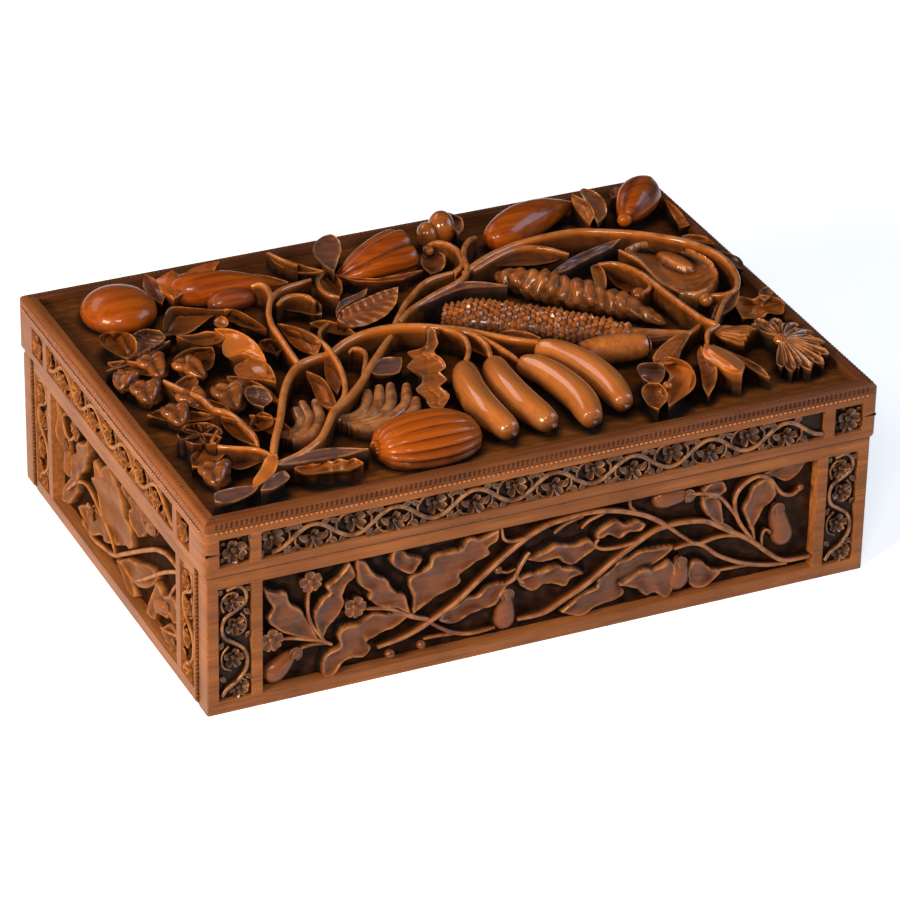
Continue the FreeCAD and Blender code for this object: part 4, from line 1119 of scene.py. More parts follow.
SHORT_STEMS = [
    ([(-72.5, 50), (-60, 50), (-48, 46), (-38, 40.5), (-24, 32), (-8, 22), (2, 16), (16, 12.5), (27, 10.5),
     (39, 12)], 2.2, 5.0),
    ([(-72.5, 49), (-58, 41), (-46, 33), (-34, 24.5), (-24, 18)], 2.0, 4.8),
    ([(-72.5, 44), (-66, 38), (-60, 30)], 1.7, 4.4),
    ([(0, 17), (8, 24), (22, 30), (34, 33), (46, 28), (58, 18)], 1.9, 4.8),
    ([(47, 50), (54, 44.5), (60, 46), (61.5, 52), (57, 56)], 1.6, 4.6),
    ([(-72, 18), (-60, 13), (-50, 10)], 1.6, 4.4),
]
SHORT_FRUITS = [
    ([(60, 42), (59, 37), (58.5, 32), (58, 27), (58, 24)], [1.8, 3.4, 4.4, 5.0, 4.0]),
    ([(-60, 24), (-52, 21), (-46, 18), (-42, 15)], [2.0, 3.6, 4.4, 4.0]),
    ([(-46, 56), (-40, 52), (-34, 49)], [3.0, 4.2, 3.4]),
]
SHORT_FLOWERS = [((46, 53), 5.2), ((-66, 9), 4.8), ((30, 22), 4.6)]
SHORT_BUDS = [((57, 56), 1.6), ((39, 12), 1.8)]
PANEL_STEP = 0.38
PANEL_REACH = 1.9
PANEL_FULL = 5.2
PANEL_CEILING = 5.5
CALYX_REACH = 5.5


def panel(half, leaves, stems, fruits, flowers, buds, side):
    """Relief of one panel's leaves, and the flat mesh of what stands on it."""
    ground = Relief((-half, PANEL_LOW + 0.05), (half, PANEL_HIGH - 0.05), PANEL_STEP, ground=0.15)
    for i, (base, tip, one, other, base_high, tip_high) in enumerate(leaves):
        ground.leaf(base, tip, one, other, base_high + 0.5, tip_high + 0.4, hollow=0.9,
                    lean=(0.9, -0.9, 0.3)[i % 3], swell=0.75, tone=0.45 + 0.12 * (i % 3),
                    waves=max(1.5, 0.45 * max(len(one), len(other))), rim=0.75, rim_width=0.42,
                    ceiling=PANEL_CEILING)
    work = Carving(lambda p: (side * p[0] * MM, p[1] * MM, p[2] * MM), PANEL_FULL)
    for points, width, high in stems:
        stem(work, points, width, high, tone=0.7, start=0.7, end=0.65, step=1.5, web=0.8)
    for path, sizes in fruits:
        fruit(work, [(u, v, 1.9) for u, v in path], sizes, around=28, step=0.7, flat=0.74, power=3.2,
              tone=0.75)
        top = path[0]
        lean = math.atan2(path[1][1] - top[1], path[1][0] - top[0])
        for k in (-1, 0, 1):
            angle = lean + 0.5 * k
            tip = (top[0] + CALYX_REACH * math.cos(angle), top[1] + CALYX_REACH * math.sin(angle))
            leaf(work, top, tip, 3.0, 4.2, 5.0 - 0.8 * abs(k), 8, 3, tone=0.3)
    for i, (centre, radius) in enumerate(flowers):
        bloom(work, centre, 0.9 * radius, 4.6, 0.5 + i)
    for centre, size in buds:
        ball(work, (*centre, 3.4), (size, size, size), around=14, rings=8)
    return ground, work.flat("panel"), side


def carved_panels():
    """Leaf panels on the four sides; the back and right repeat the two that are seen."""
    long_panel = panel(125.8, LONG_LEAVES, LONG_STEMS, LONG_FRUITS, LONG_FLOWERS, LONG_BUDS, 1)
    short_panel = panel(72.3, SHORT_LEAVES, SHORT_STEMS, SHORT_FRUITS, SHORT_FLOWERS, SHORT_BUDS, -1)
    for quarter, name in enumerate(("front", "right", "back", "left")):
        is_long = quarter % 2 == 0
        ground, mesh, side = long_panel if is_long else short_panel
        length, finish, foot = (CASE_LENGTH, side_painted_light_wood, 0.0)
        if is_long:
            length, finish, foot = (CASE_DEPTH, panel_wood, 0.08)
        matrix = side_matrix(quarter, length / 2 - PANEL_GROUND)

        def place(p):
            return tuple(matrix @ Vector((side * p[0] * MM, p[1] * MM, p[2] * MM)))

        ground.piece(name + "_panel_leaves", place, *ground.carved(PANEL_REACH, 2.3, foot), finish, "case",
                     (name + "_leaf_panel",))
        copy = mesh.copy()
        copy.transform(matrix)
        finish_mesh(name + "_panel_vines", copy, finish, "case")


# Scroll work

SCROLL_PERIOD = 35.5
SCROLL_SWING = 4.5
SCROLL_BEATS = 12
# Depth value of the ground behind scroll work: low, so that it is painted dark as shade.
GROUND_SHADE_DEPTH = 0.22
ROPE_FULL = 1.4
ROPE_PITCH = 1.93
TOOTH_PITCH = 2.15


def scroll_ground(work, half_u, low, high, thick=0.9):
    """Plain ground behind scroll work, painted dark as shade."""
    first = len(work.points)
    work.rows([[(u, low, -thick), (u, low, 0.05), (u, high, 0.05), (u, high, -thick)] for u in (-half_u,
                                                                                                half_u)])
    for number in range(first, len(work.points)):
        work.depth[number] = GROUND_SHADE_DEPTH


def scroll_unit():
    """One wave of the vine from trough to trough, with a flower under the crest and one in the trough."""
    work = Carving(in_flat, SCROLL_FULL)
    wave = []
    for i in range(SCROLL_BEATS + 1):
        swing = -SCROLL_SWING * math.cos(2 * math.pi * i / SCROLL_BEATS)
        wave.append((SCROLL_PERIOD * i / SCROLL_BEATS, swing))
    stem(work, wave, 2.2, 2.4, tone=0.8, step=1.8, web=0.85)
    middle = SCROLL_PERIOD / 2
    for heart, turn, petals in (((middle + 0.2, -2.0), 0.25, 5), ((0.2, 2.2), 0.9, 4)):
        scroll_flower(work, heart, petals, turn, 5.2, 4.4, 17.0 / petals)
    curls = (
        [(-7.4, -1.2), (-7.6, 2.6), (-5.2, 5.6), (-1.6, 6.2)],
        [(7.2, -1.6), (7.8, 2.4), (5.4, 5.4)],
        [(middle - 7.4, 1.6), (middle - 7.8, -2.4), (middle - 5.2, -5.6), (middle - 1.4, -6.2)],
        [(middle + 7.2, 1.8), (middle + 7.8, -2.6), (middle + 5.4, -5.4)],
    )
    for curl in curls:
        stem(work, curl, 1.1, 2.0, end=0.6, web=0.8)
    spurs = (
        ((3.6, -2.4), (7.4, -5.6)), ((-3.4, -2.6), (-6.8, -5.8)),
        ((middle + 3.4, 2.6), (middle + 7.2, 5.8)), ((middle - 3.4, 2.8), (middle - 7.0, 5.8)),
        ((11.6, 0.4), (14.4, -3.0)), ((-11.4, 0.6), (-14.2, -2.8)),
        ((5.8, 3.6), (10.2, 6.2)), ((9.4, 4.0), (12.4, 6.2)), ((-6.0, 3.4), (-10.4, 5.8)),
        ((middle + 6.0, -3.6), (middle + 10.4, -6.0)), ((middle - 6.0, -3.4), (middle - 10.2, -6.0)),
        ((middle - 9.6, -3.0), (middle - 12.6, -6.0)),
    )
    for base, tip in spurs:
        leaf(work, base, tip, 2.6, 1.6, 2.1, 6, 2, bend=0.1)
    return work.flat("scroll_unit")


def lid_bands():
    """Scroll vines along the lid's rails."""
    unit = scroll_unit()
    for node, quarters, count, half, start, length, finish in (
            ("lid_long_scroll_bands", (0, 2), 7, 126.9, -122.2, LID_DEPTH, band_wood),
            ("lid_short_scroll_bands", (1, 3), 4, 72.6, -70.6, LID_LENGTH, side_painted_light_wood)):
        vine = row_of(unit, count, (start, BAND_MIDDLE, 0), (SCROLL_PERIOD, 0, 0), finish)
        work = Carving(in_flat, SCROLL_FULL)
        scroll_ground(work, half, BAND_LOW + 0.1, BAND_HIGH - 0.1)
        ground = work.flat("band_ground")
        parts = []
        for quarter in quarters:
            matrix = side_matrix(quarter, length / 2 - SCROLL_GROUND, LID_SHIFT)
            parts += [(vine, matrix), (ground, matrix)]
        finish_mesh(node + "_carving", joined(parts), finish, "lid", (node,), recalc=False)


def rosettes():
    """Flower in each square at the lid's corners, its petals turned about the heart."""
    work = Carving(in_flat, SCROLL_FULL)
    leaf(work, (0.6, 0), (5.2, 0), 4.4, 0.6, 2.3, 8, 3, lip=0.5, cup=0.36, belly=0.66, rib=-0.3, point=1.0)
    leaf(work, (4.2, 2.6), (6.0, 3.8), 1.8, 1.2, 1.8, 5, 2, tone=0.45)
    unit = work.flat("rosette_petal")
    work = Carving(in_flat, SCROLL_FULL)
    scroll_ground(work, 6.6, -6.3, 6.3)
    ball(work, (0, 0, 1.0), (1.5, 1.5, 1.0), tone=0.7, around=16, rings=10)
    back = work.flat("rosette_ground")
    for name, quarters, length, spot, finish, nodes in (
            ("lid_rosette_carving", (0, 2), LID_DEPTH, 138.25, band_wood, ("lid_rosettes",)),
            ("short_rosette_carving", (1, 3), LID_LENGTH, 84.0, side_painted_light_wood, ())):
        ring = row_of(unit, 5, (0, 0, 0), (0, 0, 0), finish, spin=2 * math.pi / 5)
        parts = []
        for quarter in quarters:
            for sign in (-1, 1):
                here = side_matrix(quarter, length / 2 - SCROLL_GROUND, LID_SHIFT, sign * spot, BAND_MIDDLE)
                turned = here @ Matrix.Rotation(0.4 + 0.3 * quarter + sign, 4, "Z")
                parts += [(ring, turned), (back, here)]
        finish_mesh(name, joined(parts), finish, "lid", nodes, recalc=False)


def upright_scrolls():
    """Standing scroll vine beside each corner of the case."""
    work = Carving(in_flat, SCROLL_FULL)
    scroll_ground(work, 7.1, PANEL_LOW + 0.1, PANEL_HIGH - 0.1)
    vine = [(-3.5, 57), (1.5, 58), (4.8, 54.5), (4.6, 50), (0.5, 46.8), (-4.2, 44), (-5.6, 39.5), (-4.4, 35),
            (-0.6, 32), (3.6, 28.5), (5.4, 23.5), (4.6, 18), (1, 13.5), (-3.2, 11), (-5.6, 7.5)]
    stem(work, vine, 1.8, 2.4, tone=0.75, web=0.85)
    for curl in ([(-4.6, 47), (-5.8, 51), (-3, 55), (1, 55)], [(2.6, 45), (4.6, 42), (4.4, 37), (1.4, 35)],
                 [(-2.6, 30.5), (-5.6, 27), (-5.2, 21.5), (-1.6, 19)],
                 [(2.2, 15), (5.4, 12), (5.2, 8), (2, 6.6)]):
        stem(work, curl, 1.1, 2.0, end=0.6, step=1.4, web=0.8)
    for heart, turn in (((-0.6, 51.2), 0.2), ((0.2, 39.8), 0.9), ((-0.6, 24.8), 1.4), ((1.6, 10.2), 0.5)):
        scroll_flower(work, heart, 5, turn, 4.4, 4.4, 3.3)
    for base, tip in (((4, 47), (6.4, 44)), ((-5, 33), (-6.6, 30)), ((4.6, 33), (6.4, 36)),
                      ((-4, 14), (-6.4, 17)),
                      ((5, 57), (6.6, 55)), ((-5.6, 55), (-6.6, 57.5)), ((4.5, 16), (6.6, 14))):
        leaf(work, base, tip, 2.2, 1.5, 2.0, 6, 2)
    mesh = work.flat("upright_scroll")
    for name, quarters, length, spot, finish, nodes in (
            ("upright_scroll_carving", (0, 2), CASE_DEPTH, 137.75, band_wood, ("upright_scroll_panels",)),
            ("short_upright_scroll_carving", (1, 3), CASE_LENGTH, 84.25, side_painted_light_wood, ())):
        parts = []
        for quarter in quarters:
            for sign in (-1, 1):
                parts.append((mesh, side_matrix(quarter, length / 2 - SCROLL_GROUND, along=sign * spot)))
        finish_mesh(name, joined(parts), finish, "case", nodes, recalc=False)


def rope_strips():
    """Twisted rope beside the corners of the short sides, a slanting strand repeated."""
    strand = Carving(in_flat, ROPE_FULL)
    ball(strand, (0, 0, 0.35), (2.1, 0.95, 0.95), yaw=32, around=10, rings=6)
    column = row_of(strand.flat("rope_strand"), 32, (0, 2.0, 0), (0, ROPE_PITCH, 0), side_painted_light_wood)
    work = Carving(in_flat, ROPE_FULL)
    scroll_ground(work, 1.95, 0.2, 63.8, 1.2)
    back = work.flat("rope_ground")
    parts = []
    for quarter in (1, 3):
        for sign in (-1, 1):
            matrix = side_matrix(quarter, CASE_LENGTH / 2 - 0.35, along=sign * 95.0)
            parts += [(column, matrix), (back, matrix)]
    finish_mesh("rope_twist", joined(parts), side_painted_light_wood, "case", ("rope_strips",), recalc=False)


def wedge(work, foot, crown, tone=0.5):
    """Block on four ground points with a smaller four-cornered top."""
    low = [work.point(p, tone, 0.0, 0.0) for p in foot]
    high = [work.point(p, tone, 0.5) for p in crown]
    for number in high:
        work.depth[number] = 1.0
    for k in range(4):
        n = (k + 1) % 4
        work.faces.append((low[k], low[n], high[n], high[k]))
    work.faces.append(tuple(high))
    work.faces.append(tuple(reversed(low)))


def border_tooth(dent_shade, shine):
    """One dent of the lid's border, with a fainter one on its rim and a bead below."""
    tooth = Carving(in_flat)
    wedge(tooth, [(-0.75, 87.0, -0.1), (0.35, 87.0, -0.1), (0.8, 89.0, -1.2), (-0.25, 89.0, -1.2)],
          [(-0.65, 87.1, 0.22), (0.25, 87.1, 0.22), (0.7, 88.9, -0.40), (-0.15, 88.9, -0.40)])
    wedge(tooth, [(-0.6, 89.95, -3.0), (0.6, 89.95, -3.0), (0.6, 89.95, -4.3), (-0.6, 89.95, -4.3)],
          [(-0.5, 90.08, -3.1), (0.5, 90.08, -3.1), (0.5, 90.08, -4.2), (-0.5, 90.08, -4.2)])
    # Low depth values paint shade in the dent, and a middling value in the fainter rim dent.
    tooth.depth = [dent_shade] * 8 + [0.5] * 8
    tooth.wear = [0.0] * 16
    wedge(tooth, [(-0.95, 84.8, -0.05), (0.95, 84.8, -0.05), (0.95, 86.1, -0.05), (-0.95, 86.1, -0.05)],
          [(-0.4, 85.2, 0.5), (0.4, 85.2, 0.5), (0.4, 85.7, 0.5), (-0.4, 85.7, 0.5)], shine)
    return tooth.flat("border_tooth")


def border_notching():
    """Row of dents round the lid's border, with painted shade in them, dark on the long sides and faint on
    the short ones.
    """
    units = (border_tooth(0.2, 1.0), border_tooth(0.55, 0.5))
    parts = []
    for quarter in range(4):
        length, face = ((LID_LENGTH, LID_DEPTH / 2), (LID_DEPTH, LID_LENGTH / 2))[quarter % 2]
        count = int((length - 7.0) / TOOTH_PITCH)
        start = (-(count - 1) * TOOTH_PITCH / 2, 0, 0)
        row = row_of(units[quarter % 2], count, start, (TOOTH_PITCH, 0, 0), carved_wood)
        parts.append((row, side_matrix(quarter, face, LID_SHIFT)))
    finish_mesh("border_notching", joined(parts), carved_wood, "lid", recalc=False, sharp=20.0)


def corner_cracks():
    """Dark open crack in the lid's rail at each front corner."""
    work = Carving(in_flat)
    for near, far in ((-145.5, -150.9), (145.5, 150.9)):
        wedge(work, [(near, 75.3, -0.1), (far, 75.0, -0.1), (far, 76.4, -0.1), (near, 75.7, -0.1)],
              [(near, 75.4, 0.06), (far, 75.2, 0.06), (far, 76.2, 0.06), (near, 75.6, 0.06)])
    work.depth = [0.0] * len(work.points)
    work.wear = [0.0] * len(work.points)
    mesh = work.flat("corner_cracks")
    mesh.transform(side_matrix(0, LID_DEPTH / 2, LID_SHIFT))
    finish_mesh("corner_cracks", mesh, panel_wood, "lid", slot="frame_wood")


carved_panels()
corner_cracks()
lid_bands()
rosettes()
upright_scrolls()
rope_strips()
border_notching()


# Carving on the lid's top

MAIN_VINES = [
    ([(-124, -97, 6), (-117, -87, 8.5), (-110, -78, 10), (-104, -66, 11), (-95, -50, 11.5), (-86, -32, 12),
      (-78, -19, 12), (-70, -10.5, 12), (-62, -7.5, 11.5), (-54, -6, 10.8), (-45, 0, 11.5), (-36, 4, 12),
      (-27, 5.5, 12.4), (-18, 4.5, 12.5), (-9, 1, 12.3), (-2, -3.5, 11.8), (6, -9, 11.2), (14, -17, 10.8),
      (22, -25, 10), (30, -31, 9)], 3.8),
    ([(-113, -85, 9.5), (-104, -82, 10), (-97, -79, 10.5), (-87, -72, 11), (-79, -62, 11.5), (-72, -52, 12),
      (-63, -45, 12), (-52, -34, 12), (-43, -23, 12), (-36, -15, 11.5), (-29, -7, 11), (-25, -3, 10)], 3.7),
    ([(-70, -50, 11.5), (-63, -42, 12), (-58, -30, 12.4), (-55, -18, 12.8), (-53.5, -6, 13),
      (-53.5, 2, 12.8), (-55, 10, 12.2), (-58, 17, 11.5), (-64, 24, 10)], 2.8),
    ([(-70, -10, 11), (-69, 3, 11.5), (-68, 14, 12), (-67, 25, 12), (-64.5, 35, 12), (-61, 43, 12),
      (-57.5, 50, 12), (-56, 58, 11.5), (-57.5, 62, 11), (-61.5, 61.5, 9.5)], 3.0),
    ([(-20, 5, 12.2), (-14, 13, 12), (-7, 22, 12), (0, 29, 12), (7, 35.5, 12), (14, 38.8, 12),
      (23, 40, 11.5)], 3.0),
    ([(-16, 8, 12), (-8, 15.5, 11.8), (0, 20.5, 11.8), (10, 26, 12), (20, 30.5, 12), (27, 35.5, 12),
      (31, 42, 12.2), (34, 52, 12.4), (38, 60, 12.2), (43, 65.5, 11.6), (46.5, 66.5, 10.5)], 3.0),
    ([(24, 40, 11.6), (30, 45, 12), (33, 53, 12.2), (34, 60, 12.2), (32.5, 66, 12), (29, 69, 11.6),
      (24.5, 67.5, 10.8), (22.5, 63, 9.5)], 2.8),
    ([(28, 38, 11), (33, 42, 11.8), (42, 47.5, 12), (52, 52, 12.2), (62, 55, 12.4), (75, 56.5, 12.6),
      (90, 56, 12.6), (100, 51.5, 12.6), (112, 45, 12.6), (122, 37, 12.5), (130, 28.5, 12.3), (136, 17, 12),
      (138, 5, 12), (135.5, -9, 11.6), (130, -19.5, 11), (124, -23, 10.5), (116, -22, 9.5)], 3.4),
    ([(107, -46, 11), (104, -40, 11.3), (102, -28, 11.7), (100.5, -14, 12), (99.5, -2, 12), (98.5, 8, 12),
      (95.5, 16, 12), (91, 21.5, 11.8), (84.5, 22.5, 11)], 2.8),
]
SIDE_VINES = [
    ([(-60, 45, 11.8), (-54, 52, 11.5), (-46, 55.5, 11), (-36, 57, 9.5)], 2.6),
    ([(107, -45, 11), (115, -34, 10.5), (122, -26, 10), (131, -19, 9.5)], 2.6),
    ([(-3, -3, 12), (2, -10, 11.8), (3, -17, 11.4), (0, -27, 10.6), (-7, -38, 9.5), (-9, -43, 8)], 2.6),
    ([(2, -7, 11.8), (8, -15, 11.4), (9, -25, 11), (6, -36, 10), (3.5, -44, 8)], 2.6),
    ([(7, -10, 11.5), (12, -25, 11), (15, -40, 10), (14.5, -48, 8)], 2.4),
    ([(-49, -29, 11.5), (-44, -20, 11.8), (-41, -13, 11.8), (-41, -9, 11.5), (-44, -7, 11), (-47, -10, 10)],
      2.2),
    ([(-127, -3, 9), (-122, -14, 9.6), (-118, -22, 9.8), (-117, -32, 9.8), (-113, -37, 10), (-111, -46, 10),
      (-110.5, -60, 10), (-112.5, -69, 9.5)], 2.8),
    ([(-122, -50, 8.5), (-128, -58, 9), (-127, -62, 9.4), (-121, -66, 9.8), (-114, -70, 10),
      (-111, -75, 10.2), (-110, -80, 10)], 2.0),
    ([(-54, 2, 9.5), (-52.5, 9, 10), (-49, 14.5, 10), (-45, 17, 9.5)], 2.0),
    ([(98, 6, 11.5), (98, -1, 11), (95, -6, 10.4), (91, -8.5, 9.6)], 2.4),
    ([(107, -47, 10.5), (100, -51, 10), (95, -60, 9)], 2.4),
    ([(100, -44, 8.5), (92, -49, 9), (85, -52, 9)], 2.4),
    ([(32, 38, 11), (40, 42.5, 11.4), (50, 47.5, 11.6), (58, 50, 11.6), (66, 48.5, 11.2), (72, 43.5, 10.6),
      (77, 36, 9)], 2.6),
    ([(-58, 41, 10.5), (-54, 45, 11), (-48, 46.5, 11), (-43, 43.5, 10.6), (-42.5, 37, 10)], 2.2),
    ([(-28, 61, 10), (-33, 56, 10.3), (-35, 48, 10.4), (-34, 42, 10.2), (-31, 37, 9.5)], 2.0),
    ([(99, 31, 10), (102.5, 20, 10.5), (102.5, 10, 10.5), (102, -2, 10.4), (105, -14, 10)], 2.0),
    ([(-43, 87, 8.5), (-40, 79, 9), (-36, 71, 9)], 1.8),
]
